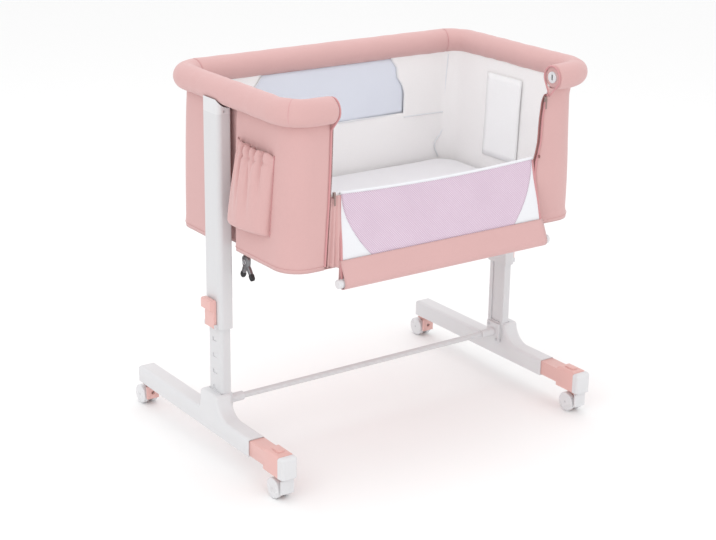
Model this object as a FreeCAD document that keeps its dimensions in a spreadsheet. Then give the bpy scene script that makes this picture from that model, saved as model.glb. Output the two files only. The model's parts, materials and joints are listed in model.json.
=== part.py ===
import FreeCAD, Part
import math
import os
import Sketcher

# Bedside sleeper crib. Millimetres. X runs along the crib, -Y is the drop side that faces the bed,
# +Z is up. The origin lies on the floor, under the middle of the whole stand.

os.makedirs("parts", exist_ok=True)
doc = FreeCAD.newDocument("bedside_crib")
V = FreeCAD.Vector

# ---------------------------------------------------------------- driving dimensions
DRIVING = {
    # feet
    "foot_offset": 450.0,         # middle of the crib to the middle of each foot
    "foot_width": 46.0,
    "foot_floor_gap": 64.0,       # floor to the underside of a foot
    "foot_height": 44.0,
    "foot_rear": 357.0,           # column centre to the rear end of the foot
    "foot_front": 188.0,          # column centre to the front end of the moulded foot
    "foot_wall": 3.0,
    "pedestal_height": 52.0,      # how far the pedestal rises over the foot
    "pedestal_margin": 9.0,       # pedestal beyond the column, front and rear
    "foot_sweep": 50.0,           # radius between the pedestal and the foot's front
    "foot_round": 9.0,
    "socket_depth": 46.0,         # how deep a column stands in its pedestal
    # retracting front extensions
    "slide_reach": 333.0,         # column centre to the front of the end cap, pulled out
    "slide_travel": 60.0,
    "slide_gap": 0.3,
    "slide_overlap": 70.0,
    "head_length": 62.0,
    "head_width": 44.0,
    "head_rise": 6.0,             # head above the foot's top
    "end_cap_length": 20.0,
    "button_length": 29.0,
    "button_width": 17.0,
    "button_proud": 3.5,
    "button_travel": 3.0,
    # casters
    "caster_top": 60.0,           # underside that a caster's collar meets
    "wheel_diameter": 50.0,
    "wheel_width": 14.0,
    "caster_web": 10.0,
    "wheel_gap": 1.5,
    "caster_trail": 18.0,
    "collar_radius": 14.0,
    "collar_height": 4.5,
    "stem_radius": 4.5,
    "stem_length": 24.0,
    "axle_radius": 3.0,
    "rear_stem_inset": 15.0,
    "front_stem_inset": 27.0,
    "pedal_width": 34.0,
    "pedal_height": 35.0,
    "pedal_thickness": 5.0,
    "pedal_pin_radius": 1.5,
    "ear_gap": 0.6,
    "ear_thickness": 3.0,
    "running_gap": 0.05,
    # columns and height rack
    "column_offset": 438.0,
    "column_width": 60.0,
    "column_depth": 26.0,
    "column_wall": 3.0,
    "column_top": 640.0,
    "column_round": 9.0,
    "track_width": 36.0,
    "track_depth": 3.0,
    "rack_pitch": 41.5,
    "rack_slots": 6,
    "rack_slot_width": 18.0,
    "rack_slot_height": 10.0,
    # crossbar
    "crossbar_radius": 7.5,
    "crossbar_height": 130.0,
    "crossbar_wall": 1.5,
    "coupler_length": 42.0,
    "coupler_radius": 11.5,
    "coupler_plate": 8.0,
    "coupler_plate_width": 48.0,
    "coupler_plate_height": 52.0,
    "screw_spread_y": 17.0,
    "screw_spread_z": 18.0,
    # outer sleeves
    "sleeve_width": 72.0,
    "sleeve_depth": 36.0,
    "sleeve_wall": 2.5,
    "sleeve_bottom": 327.0,
    "cap_seat_drop": 48.0,        # rail centre down to the top of a sleeve
    "sleeve_round": 13.0,
    "sleeve_cap_height": 34.0,
    "sleeve_rib_depth": 11.0,
    "sleeve_rib_width": 30.0,
    "sleeve_rib_low": 395.0,
    "sleeve_rib_high": 500.0,
    "saddle_gap": 3.5,
    "pivot_drop": 42.0,           # rail centre down to the tilt pins
    "pivot_pin_radius": 3.0,
    # height lever
    "lever_width": 42.0,
    "lever_height": 71.0,
    "lever_plate": 7.5,
    "lever_grip": 18.0,
    "lever_grip_height": 26.0,
    "lever_gap": 0.8,
    "lever_pin_radius": 1.6,
    "lever_pin_rise": 6.0,
    "lug_thickness": 3.0,
    "tooth_width": 16.0,
    "tooth_height": 8.0,
    "tooth_rise": 50.0,
    "tooth_reach": 1.0,
    "tooth_gap": 1.2,
    # top rail
    "rail_half_length": 424.0,
    "rail_back": 205.0,           # column centre plane to the back run of the rail
    "rail_front": 296.0,
    "rail_height": 898.0,
    "rail_tube_radius": 9.0,
    "rail_tube_wall": 1.5,
    "rail_pad_radius": 31.0,
    "rail_rear_corner": 58.0,
    "rail_front_corner": 65.0,
    "stub_end": 318.0,            # middle of the crib to where the front stubs end
    "socket_flange": 3.0,
    "socket_radius": 14.0,
    "bracket_thickness": 6.0,
    # basket
    "basket_bottom": 530.0,
    "fabric_wall": 4.0,
    "liner_gap": 1.0,
    "liner_wall": 2.0,
    "end_rear_half": 422.0,       # fabric ends behind the columns
    "end_rear_flare": 10.0,       # how much further out the rear ends are at the hem
    "end_front_half": 419.0,      # fabric ends in front of the columns
    "end_front_flare": 8.0,       # how much further out the front ends are at the hem
    "end_waist_half": 411.0,      # fabric beside the columns, top
    "end_waist_draft": 14.0,      # how much further in it is at the hem
    "waist_margin": 14.0,
    "waist_bend": 22.0,
    "waist_step": 28.0,
    "fabric_back_inset": 5.0,
    "fabric_front_inset": 6.0,
    "fabric_rear_corner": 50.0,
    "fabric_front_corner": 62.0,
    "window_half_length": 240.0,
    "window_drop": 176.0,         # rail centre down to the window's lower edge
    "front_opening": 311.0,
    "frame_tube_radius": 8.0,
    "board_thickness": 5.0,
    "mattress_thickness": 28.0,
    "mattress_crown": 3.0,
    "mattress_gap": 3.0,
    # drop side
    "fold_height": 699.0,
    "fold_setback": 19.0,         # rail centre line back to the fold line
    "fold_half_length": 283.0,
    "fold_bead": 3.0,
    "drop_length": 203.0,
    "drop_lean": 37.0,
    "drop_thickness": 2.4,
    "drop_bar_radius": 11.0,
    "drop_bar_wall": 1.5,
    "drop_bar_half": 296.0,
    "plug_gap": 2.0,
    "band_half": 300.0,
    "band_radius": 14.5,
    "band_height": 52.0,
    # pockets
    "pocket_rise": 64.0,          # hem up to a pocket's bottom
    "pocket_drop": 108.0,         # rail centre down to a pocket's top
    "pocket_rear": 84.0,          # column centre to the pocket's rear edge
    "pocket_length": 162.0,
    "pocket_folds": 6,
    "pocket_gather": 3.0,         # how far the gathers stand out along the top
    "pocket_depth_low": 40.0,
    "pocket_depth_high": 22.0,
    "pocket_wall": 2.5,
    # small pieces
    "zip_width": 6.5,
    "zip_depth": 6.0,
    "zip_height": 13.0,
    "zip_pull": 24.0,
    "left_zip_rise": 2.0,         # fold line up to the left slider
    "right_zip_drop": 53.0,       # rail centre down to the right slider
    "clip_width": 18.0,
    "clip_depth": 10.0,
    "clip_height": 34.0,
    "strap_drop": 22.0,
    "strap_eye_radius": 2.5,
    "screw_radius": 4.0,
    "screw_head": 2.0,
}

sheet = doc.addObject("Spreadsheet::Sheet", "dims")
for row, (alias, number) in enumerate(DRIVING.items(), start=1):
    sheet.set("A%d" % row, alias.replace("_", " "))
    sheet.set("B%d" % row, str(number))
    sheet.setAlias("B%d" % row, alias)
doc.recompute()


class Size:
    """A length as a number and as the sheet expression that gives it."""

    def __init__(self, number, text):
        self.number = float(number)
        self.text = text

    def __add__(self, other):
        return Size(self.number + num(other), "(%s + %s)" % (self.text, text_of(other)))

    def __radd__(self, other):
        return Size(num(other) + self.number, "(%s + %s)" % (text_of(other), self.text))

    def __sub__(self, other):
        return Size(self.number - num(other), "(%s - %s)" % (self.text, text_of(other)))

    def __rsub__(self, other):
        return Size(num(other) - self.number, "(%s - %s)" % (text_of(other), self.text))

    def __mul__(self, other):
        return Size(self.number * num(other), "(%s * %s)" % (self.text, text_of(other)))

    __rmul__ = __mul__

    def __truediv__(self, other):
        return Size(self.number / num(other), "(%s / %s)" % (self.text, text_of(other)))

    def __neg__(self):
        return Size(-self.number, "(-1 * %s)" % self.text)


def num(value):
    return value.number if isinstance(value, Size) else float(value)


def text_of(value):
    return value.text if isinstance(value, Size) else "(%r)" % float(value)


class Sheet:
    """Every driving dimension by name."""


d = Sheet()
for alias in DRIVING:
    setattr(d, alias, Size(sheet.get(alias), "dims." + alias))

# ---------------------------------------------------------------- places that follow
foot_top = d.foot_floor_gap + d.foot_height
pedestal_top = foot_top + d.pedestal_height
column_bottom = pedestal_top - d.socket_depth
rear_reach = d.foot_rear - d.rear_stem_inset + d.caster_trail + d.wheel_diameter / 2
column_y = (d.slide_reach - rear_reach) / 2
wheel_radius = d.wheel_diameter / 2
head_top = foot_top + d.head_rise
cap_back = d.slide_reach - d.end_cap_length
step_y = cap_back - d.head_length
tooth_z = d.sleeve_bottom + d.tooth_rise
sleeve_top = d.rail_height - d.cap_seat_drop
pivot_height = d.rail_height - d.pivot_drop
rail_back_y = column_y + d.rail_back
rail_front_y = column_y - d.rail_front
fold_y = rail_front_y + d.fold_setback
fabric_top = d.rail_height - d.rail_pad_radius - 0.3
floor_top = d.basket_bottom + d.fabric_wall
frame_height = floor_top + d.frame_tube_radius + 0.5
board_bottom = frame_height + d.frame_tube_radius + 0.5
board_top = board_bottom + d.board_thickness

nodes = []


def keep(obj):
    """Lists an object as one finished piece."""
    nodes.append(obj)
    return obj


def bind(obj, prop, value):
    """Ties a property to the sheet where the value comes from it."""
    if isinstance(value, Size):
        obj.setExpression(prop, value.text)
    else:
        setattr(obj, prop, value)


def place(obj, x=0.0, y=0.0, z=0.0, axis=None, angle=0.0):
    turn = FreeCAD.Rotation(axis, angle) if axis else FreeCAD.Rotation()
    obj.Placement = FreeCAD.Placement(V(num(x), num(y), num(z)), turn)
    for name, value in (("x", x), ("y", y), ("z", z)):
        if isinstance(value, Size):
            obj.setExpression("Placement.Base." + name, value.text)
    return obj


# ---------------------------------------------------------------- primitives
def box(label, sizes, corner):
    """A box from its three sizes and its lowest corner."""
    obj = doc.addObject("Part::Box", label)
    for prop, value in zip(("Length", "Width", "Height"), sizes):
        bind(obj, prop, value)
    return place(obj, *corner)


def rod(label, radius, length, start, along="Z"):
    """A cylinder that starts at a point and runs in the positive direction of an axis."""
    obj = doc.addObject("Part::Cylinder", label)
    bind(obj, "Radius", radius)
    bind(obj, "Height", length)
    turns = {"X": (V(0, 1, 0), 90), "Y": (V(1, 0, 0), -90), "Z": (None, 0)}
    axis, angle = turns[along]
    return place(obj, *start, axis=axis, angle=angle)


def cut(label, base, *tools):
    obj = doc.addObject("Part::Cut", label)
    obj.Base = base
    obj.Tool = tools[0] if len(tools) == 1 else fuse(label + "_tools", *tools)
    return obj


def fuse(label, *shapes):
    obj = doc.addObject("Part::MultiFuse", label)
    obj.Shapes = list(shapes)
    return obj


def group(label, *pieces):
    """Separate solids that share one node."""
    obj = doc.addObject("Part::Compound", label)
    obj.Links = list(pieces)
    return obj


def rounded(label, base, radius, wanted):
    """Rounds the edges of a solid that a test picks."""
    doc.recompute()
    obj = doc.addObject("Part::Fillet", label)
    obj.Base = base
    size = num(radius)
    obj.Edges = [(i, size, size) for i, edge in enumerate(base.Shape.Edges, 1) if wanted(edge)]
    return obj


def is_rim(radius):
    """Picks the round rim edges of a given radius."""
    return lambda edge: hasattr(edge.Curve, "Radius") and abs(edge.Curve.Radius - num(radius)) < 1e-4


# ---------------------------------------------------------------- sketched bodies
def body(label, x=0.0, y=0.0, z=0.0):
    obj = doc.addObject("PartDesign::Body", label)
    return place(obj, x, y, z)


def sketch(owner, plane, name, offset=0.0):
    obj = owner.newObject("Sketcher::SketchObject", name)
    origin = [f for f in owner.Origin.OriginFeatures if f.Role == plane + "_Plane"][0]
    obj.AttachmentSupport = [(origin, "")]
    obj.MapMode = "FlatFace"
    obj.AttachmentOffset = FreeCAD.Placement(V(0, 0, num(offset)), FreeCAD.Rotation())
    if isinstance(offset, Size):
        obj.setExpression("AttachmentOffset.Base.z", offset.text)
    return obj


def pin_point(sk, geo, pos, x, y):
    """Holds one point of a sketch at sheet coordinates."""
    for kind, value in (("DistanceX", x), ("DistanceY", y)):
        index = sk.addConstraint(Sketcher.Constraint(kind, -1, 1, geo, pos, num(value)))
        if isinstance(value, Size):
            sk.setExpression("Constraints[%d]" % index, value.text)


def polygon(sk, points):
    """A closed outline of straight lines through sheet points."""
    count = len(points)
    first = sk.GeometryCount
    for i in range(count):
        a, b = points[i], points[(i + 1) % count]
        line = Part.LineSegment(V(num(a[0]), num(a[1]), 0), V(num(b[0]), num(b[1]), 0))
        sk.addGeometry(line, False)
    for i in range(count):
        joint = Sketcher.Constraint("Coincident", first + i, 2, first + (i + 1) % count, 1)
        sk.addConstraint(joint)
    for i, (x, y) in enumerate(points):
        pin_point(sk, first + i, 1, x, y)
    return sk


def rectangle(sk, x0, y0, x1, y1):
    return polygon(sk, [(x0, y0), (x1, y0), (x1, y1), (x0, y1)])


def circle(sk, x, y, radius):
    geo = sk.addGeometry(Part.Circle(V(num(x), num(y), 0), V(0, 0, 1), num(radius)), False)
    pin_point(sk, geo, 3, x, y)
    index = sk.addConstraint(Sketcher.Constraint("Radius", geo, num(radius)))
    if isinstance(radius, Size):
        sk.setExpression("Constraints[%d]" % index, radius.text)
    return sk


def pad(owner, sk, length, middle=False, back=False):
    obj = owner.newObject("PartDesign::Pad", sk.Name + "_pad")
    obj.Profile = sk
    bind(obj, "Length", length)
    obj.Midplane = middle
    obj.Reversed = back
    owner.Tip = obj
    return obj


def pocket(owner, sk, length=None, middle=False, back=False):
    """Cuts a pocket, and stops if it removed nothing."""
    doc.recompute()
    before = owner.Tip.Shape.Volume
    obj = owner.newObject("PartDesign::Pocket", sk.Name + "_pocket")
    obj.Profile = sk
    if length is None:
        obj.Type = 1
    else:
        bind(obj, "Length", length)
    obj.Midplane = middle
    obj.Reversed = back
    owner.Tip = obj
    doc.recompute()
    if not obj.Shape.Volume < before - 1e-3:
        raise ValueError("%s in %s cut nothing" % (sk.Label, owner.Label))
    return obj


def soften(owner, radius, wanted):
    """Rounds the edges of a body that a test picks."""
    doc.recompute()
    base = owner.Tip
    names = ["Edge%d" % i for i, edge in enumerate(base.Shape.Edges, 1) if wanted(edge)]
    obj = owner.newObject("PartDesign::Fillet", owner.Name + "_round")
    obj.Base = (base, names)
    bind(obj, "Radius", radius)
    owner.Tip = obj
    return obj


def ends(edge):
    return [v.Point for v in edge.Vertexes]


def upright(edge):
    """True on a straight vertical edge."""
    points = ends(edge)
    return len(points) == 2 and abs(points[0].x - points[1].x) < 1e-4 and \
        abs(points[0].y - points[1].y) < 1e-4


def upright_at(x):
    """Picks vertical edges on one X plane of the body."""
    return lambda edge: upright(edge) and abs(ends(edge)[0].x - num(x)) < 1e-3


SIDES = (("left", -1), ("right", 1))

# ---------------------------------------------------------------- feet
for side_name, side in SIDES:
    # Moulded foot: a long bar with a pedestal that the column stands in.
    shell = keep(body(side_name + "_foot_shell", d.foot_offset * side, column_y))
    half_pedestal = d.column_width / 2 + d.pedestal_margin
    side_view = sketch(shell, "YZ", side_name + "_foot_side")
    polygon(side_view, [
        (d.foot_rear, d.foot_floor_gap),
        (d.foot_rear, foot_top),
        (half_pedestal + 4, foot_top),
        (half_pedestal, pedestal_top),
        (-half_pedestal, pedestal_top),
        (-half_pedestal, foot_top),
        (-d.foot_front, foot_top),
        (-d.foot_front, d.foot_floor_gap),
    ])
    pad(shell, side_view, d.foot_width, middle=True)

    def front_corner(edge):
        points = ends(edge)
        return all(abs(p.y + num(half_pedestal)) < 1e-3 and abs(p.z - num(foot_top)) < 1e-3 for p in points)

    soften(shell, d.foot_sweep, front_corner)

    def upper_rim(edge):
        points = ends(edge)
        flat = all(abs(abs(p.x) - num(d.foot_width) / 2) < 1e-3 for p in points)
        high = sum(p.z for p in points) / len(points) > num(foot_top) - 1
        not_end = any(p.y > -num(d.foot_front) + 1 for p in points)
        return flat and high and not_end

    soften(shell, d.foot_round, upper_rim)
    boss = sketch(shell, "XY", side_name + "_rear_boss", d.caster_top)
    circle(boss, 0, d.foot_rear - d.rear_stem_inset, d.collar_radius)
    pad(shell, boss, d.foot_floor_gap - d.caster_top)
    bore = sketch(shell, "XY", side_name + "_rear_stem_bore", d.caster_top)
    circle(bore, 0, d.foot_rear - d.rear_stem_inset, d.stem_radius + d.running_gap)
    pocket(shell, bore, d.stem_length + 2, back=True)
    # socket for the column
    socket_x = (d.column_offset - d.foot_offset) * side
    socket = sketch(shell, "XY", side_name + "_column_socket", pedestal_top)
    rectangle(socket, socket_x - d.column_depth / 2, -d.column_width / 2,
              socket_x + d.column_depth / 2, d.column_width / 2)
    pocket(shell, socket, d.socket_depth)
    # channel that the front extension slides in
    channel = sketch(shell, "XZ", side_name + "_slide_channel", d.foot_front)
    half_channel = d.foot_width / 2 - d.foot_wall
    rectangle(channel, -half_channel, d.foot_floor_gap + d.foot_wall, half_channel, foot_top - d.foot_wall)
    pocket(shell, channel, d.foot_front - 20)

    # Column: an upright tube with a guide track inside and a rack of slots outside.
    column = keep(body(side_name + "_column", d.column_offset * side, column_y))
    outer_x = d.column_depth / 2 * side
    inner_x = -outer_x
    section = sketch(column, "XY", side_name + "_column_section", column_bottom)
    rectangle(section, -d.column_depth / 2, -d.column_width / 2, d.column_depth / 2, d.column_width / 2)
    pad(column, section, d.column_top - column_bottom)
    soften(column, d.column_round, upright_at(outer_x))
    hollow = sketch(column, "XY", side_name + "_column_hollow", d.column_top)
    rectangle(hollow, inner_x + (d.track_depth + d.column_wall) * side, -d.column_width / 2 + d.column_round,
              outer_x - d.column_wall * side, d.column_width / 2 - d.column_round)
    pocket(column, hollow)
    track = sketch(column, "XY", side_name + "_column_track", d.column_top)
    rectangle(track, inner_x, -d.track_width / 2, inner_x + d.track_depth * side, d.track_width / 2)
    pocket(column, track, d.column_top - pedestal_top)
    slot = sketch(column, "YZ", side_name + "_rack_slot", outer_x)
    rectangle(slot, -d.rack_slot_width / 2, tooth_z - d.rack_slot_height / 2,
              d.rack_slot_width / 2, tooth_z + d.rack_slot_height / 2)
    first_slot = pocket(column, slot, d.column_wall + 0.5, back=side < 0)
    rack = column.newObject("PartDesign::LinearPattern", side_name + "_rack")
    rack.Originals = [first_slot]
    rack.Direction = ([f for f in column.Origin.OriginFeatures if f.Role == "Z_Axis"][0], [""])
    rack.Reversed = True
    bind(rack, "Length", d.rack_pitch * (d.rack_slots - 1))
    bind(rack, "Occurrences", d.rack_slots)
    column.Tip = rack

    # Front extension: a bar in the channel with a deep head that carries the caster.
    slide = keep(body(side_name + "_foot_slide", d.foot_offset * side, column_y))
    bar = sketch(slide, "XZ", side_name + "_slide_bar", step_y)
    half_bar = half_channel - d.slide_gap
    bar_low = d.foot_floor_gap + d.foot_wall + d.slide_gap
    bar_high = foot_top - d.foot_wall - d.slide_gap
    rectangle(bar, -half_bar, bar_low, half_bar, bar_high)
    pad(slide, bar, step_y - (d.foot_front - d.slide_overlap), back=True)
    bar_inside = sketch(slide, "XZ", side_name + "_slide_inside", d.foot_front - d.slide_overlap)
    rectangle(bar_inside, -half_bar + d.foot_wall, bar_low + d.foot_wall,
              half_bar - d.foot_wall, bar_high - d.foot_wall)
    pocket(slide, bar_inside, step_y - (d.foot_front - d.slide_overlap) - d.foot_wall, back=True)
    head = sketch(slide, "XZ", side_name + "_slide_head", step_y)
    rectangle(head, -d.head_width / 2, d.caster_top, d.head_width / 2, head_top)
    pad(slide, head, d.head_length)

    def head_rim(edge):
        points = ends(edge)
        return len(points) == 2 and all(abs(abs(p.x) - num(d.head_width) / 2) < 1e-3
                                        and abs(p.z - num(head_top)) < 1e-3 for p in points)

    soften(slide, d.foot_round, head_rim)
    stem_y = -(d.slide_reach - d.front_stem_inset)
    stem_bore = sketch(slide, "XY", side_name + "_front_stem_bore", d.caster_top)
    circle(stem_bore, 0, stem_y, d.stem_radius + d.running_gap)
    pocket(slide, stem_bore, d.stem_length + 2, back=True)
    well = sketch(slide, "XY", side_name + "_button_well", head_top)
    button_y = -(cap_back - d.head_length / 2)
    well_depth = d.button_travel + 5
    rectangle(well, -d.button_width / 2 - d.slide_gap, button_y - d.button_length / 2 - d.slide_gap,
              d.button_width / 2 + d.slide_gap, button_y + d.button_length / 2 + d.slide_gap)
    pocket(slide, well, well_depth)

    # Release button on top of the head.
    button = keep(body(side_name + "_slide_button", d.foot_offset * side, column_y))
    button_plan = sketch(button, "XY", side_name + "_button_plan", head_top - 5)
    rectangle(button_plan, -d.button_width / 2, button_y - d.button_length / 2,
              d.button_width / 2, button_y + d.button_length / 2)
    pad(button, button_plan, d.button_proud + 5)

    # End cap that closes the head.
    cap = keep(body(side_name + "_foot_end_cap", d.foot_offset * side, column_y))
    cap_face = sketch(cap, "XZ", side_name + "_end_cap_face", cap_back)
    rectangle(cap_face, -d.head_width / 2, d.caster_top, d.head_width / 2, head_top)
    pad(cap, cap_face, d.end_cap_length)

    def cap_rim(edge):
        points = ends(edge)
        front = all(abs(p.y + num(d.slide_reach)) < 1e-3 for p in points)
        high = sum(p.z for p in points) / 2 > num(d.caster_top) + 1
        top_side = all(abs(p.z - num(head_top)) < 1e-3 and abs(abs(p.x) - num(d.head_width) / 2) < 1e-3
                       for p in points)
        return (front and high) or top_side

    soften(cap, d.foot_round, cap_rim)

# ---------------------------------------------------------------- casters
caster_spots = []
for side_name, side in SIDES:
    caster_spots.append((side_name + "_front", d.foot_offset * side, column_y - (d.slide_reach - d.front_stem_inset)))
    caster_spots.append((side_name + "_rear", d.foot_offset * side, column_y + d.foot_rear - d.rear_stem_inset))

hinge_y = -5.0
hinge_z = d.caster_top - d.collar_height - 6
plate_back = -11.5


def pedal_plate(owner, name):
    """The upright plate in front of a pair of wheels."""
    view = sketch(owner, "YZ", name + "_plate_side")
    plate_top = d.caster_top - d.collar_height - 1.5
    polygon(view, [
        (plate_back - d.pedal_thickness, plate_top),
        (plate_back, plate_top),
        (plate_back, plate_top - d.pedal_height),
        (plate_back - d.pedal_thickness, plate_top - d.pedal_height),
    ])
    pad(owner, view, d.pedal_width, middle=True)

    def outer_corner(edge):
        points = ends(edge)
        side_on = all(abs(abs(p.x) - num(d.pedal_width) / 2) < 1e-3 for p in points)
        return side_on and not upright(edge)

    soften(owner, 1.5, outer_corner)


for name, stem_x, stem_y in caster_spots:
    # Hood: collar, stem and the web between the two wheels.
    hood = keep(body(name + "_caster_hood", stem_x, stem_y))
    web = sketch(hood, "YZ", name + "_web")
    polygon(web, [
        (-10.0, wheel_radius + 17),
        (d.caster_trail - 15, wheel_radius - 14),
        (d.caster_trail + 6, wheel_radius - 21),
        (d.caster_trail + 20, wheel_radius - 8),
        (d.caster_trail + 20, wheel_radius + 10),
        (d.caster_trail + 4, d.caster_top - d.collar_height),
        (-10.0, d.caster_top - d.collar_height),
    ])
    pad(hood, web, d.caster_web, middle=True)
    collar = sketch(hood, "XY", name + "_collar", d.caster_top - d.collar_height)
    circle(collar, 0, 0, d.collar_radius)
    pad(hood, collar, d.collar_height - 0.3)
    stem = sketch(hood, "XY", name + "_stem", d.caster_top - d.collar_height)
    circle(stem, 0, 0, d.stem_radius)
    pad(hood, stem, d.collar_height + d.stem_length)
    axle_bore = sketch(hood, "YZ", name + "_axle_bore")
    circle(axle_bore, d.caster_trail, wheel_radius, d.axle_radius)
    pocket(hood, axle_bore, d.caster_web + 2, middle=True)
    if name.endswith("rear"):
        # fixed guard plate with a finger hole
        pedal_plate(hood, name)
        bridge = sketch(hood, "YZ", name + "_guard_bridge")
        rectangle(bridge, plate_back - 1, hinge_z - 2, -9.0, hinge_z + 4)
        pad(hood, bridge, d.caster_web, middle=True)
        hole = sketch(hood, "XZ", name + "_guard_hole", -plate_back - 1)
        circle(hole, 0, hinge_z - 14, 5.0)
        pocket(hood, hole, d.pedal_thickness + 2, back=True)
    else:
        hinge_pin = sketch(hood, "YZ", name + "_pedal_pin")
        circle(hinge_pin, hinge_y, hinge_z, d.pedal_pin_radius)
        pad(hood, hinge_pin, d.caster_web + 2 * (d.ear_gap + d.ear_thickness), middle=True)

    # Axle that both wheels turn on.
    axle_y = stem_y + d.caster_trail
    axle_length = d.caster_web + 2 * (d.wheel_width + d.wheel_gap)
    keep(rod(name + "_caster_axle", d.axle_radius, axle_length,
             (stem_x - axle_length / 2, axle_y, wheel_radius), "X"))

    # Twin wheels.
    wheels = []
    for hand in (-1, 1):
        middle_x = stem_x + (d.caster_web / 2 + d.wheel_gap + d.wheel_width / 2) * hand
        start = (middle_x - d.wheel_width / 2, axle_y, wheel_radius)
        tag = name + ("_outer" if hand > 0 else "_inner")
        disc = rod(tag + "_disc", wheel_radius, d.wheel_width, start, "X")
        hole = rod(tag + "_hole", d.axle_radius + d.running_gap, d.wheel_width, start, "X")
        wheels.append(rounded(tag + "_wheel", cut(tag + "_tyre", disc, hole), 3.0, is_rim(wheel_radius)))
    keep(group(name + "_caster_wheels", *wheels))

    if name.endswith("rear"):
        continue

    # Brake pedal in front of the wheels, hinged on a pin through the web.
    pedal = keep(body(name + "_brake_pedal", stem_x, stem_y))
    pedal_plate(pedal, name)
    ears = sketch(pedal, "YZ", name + "_pedal_ears")
    rectangle(ears, plate_back - 1, hinge_z - 4, hinge_y + 4, hinge_z + 4)
    pad(pedal, ears, d.caster_web + 2 * (d.ear_gap + d.ear_thickness), middle=True)
    ear_slot = sketch(pedal, "YZ", name + "_ear_slot")
    rectangle(ear_slot, plate_back + 0.5, hinge_z - 5, hinge_y + 5, hinge_z + 5)
    pocket(pedal, ear_slot, d.caster_web + 2 * d.ear_gap, middle=True)
    pin_bore = sketch(pedal, "YZ", name + "_pedal_pin_bore")
    circle(pin_bore, hinge_y, hinge_z, d.pedal_pin_radius + d.running_gap)
    pocket(pedal, pin_bore, d.pedal_width, middle=True)

# ---------------------------------------------------------------- crossbar
plate_x = d.column_offset - d.column_depth / 2
couplers = []
screws = []
for side_name, side in SIDES:
    low = plate_x * side if side < 0 else plate_x - d.coupler_plate
    plate = box(side_name + "_coupler_plate",
                (d.coupler_plate, d.coupler_plate_width, d.coupler_plate_height),
                (low, column_y - d.coupler_plate_width / 2, d.crossbar_height - d.coupler_plate_height / 2))
    tube_low = -plate_x + d.coupler_plate if side < 0 else plate_x - d.coupler_plate - d.coupler_length
    tube = rod(side_name + "_coupler_tube", d.coupler_radius, d.coupler_length,
               (tube_low, column_y, d.crossbar_height), "X")
    hole = rod(side_name + "_coupler_hole", d.crossbar_radius + 0.1, d.coupler_length,
               (tube_low, column_y, d.crossbar_height), "X")
    couplers.append(cut(side_name + "_coupler", fuse(side_name + "_coupler_solid", plate, tube), hole))
    for hand in (-1, 1):
        head_low = -plate_x + d.coupler_plate if side < 0 else plate_x - d.coupler_plate - d.screw_head
        screws.append(rod("%s_screw_%s" % (side_name, "low" if hand < 0 else "high"), d.screw_radius, d.screw_head,
                          (head_low, column_y + d.screw_spread_y * hand,
                           d.crossbar_height + d.screw_spread_z * hand), "X"))
keep(group("crossbar_couplers", *couplers))
keep(group("coupler_screws", *screws))
bar_half = plate_x - d.coupler_plate
crossbar_solid = rod("crossbar_solid", d.crossbar_radius, bar_half * 2, (-bar_half, column_y, d.crossbar_height), "X")
crossbar_hole = rod("crossbar_hole", d.crossbar_radius - d.crossbar_wall, bar_half * 2,
                    (-bar_half, column_y, d.crossbar_height), "X")
keep(cut("crossbar", crossbar_solid, crossbar_hole))

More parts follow.
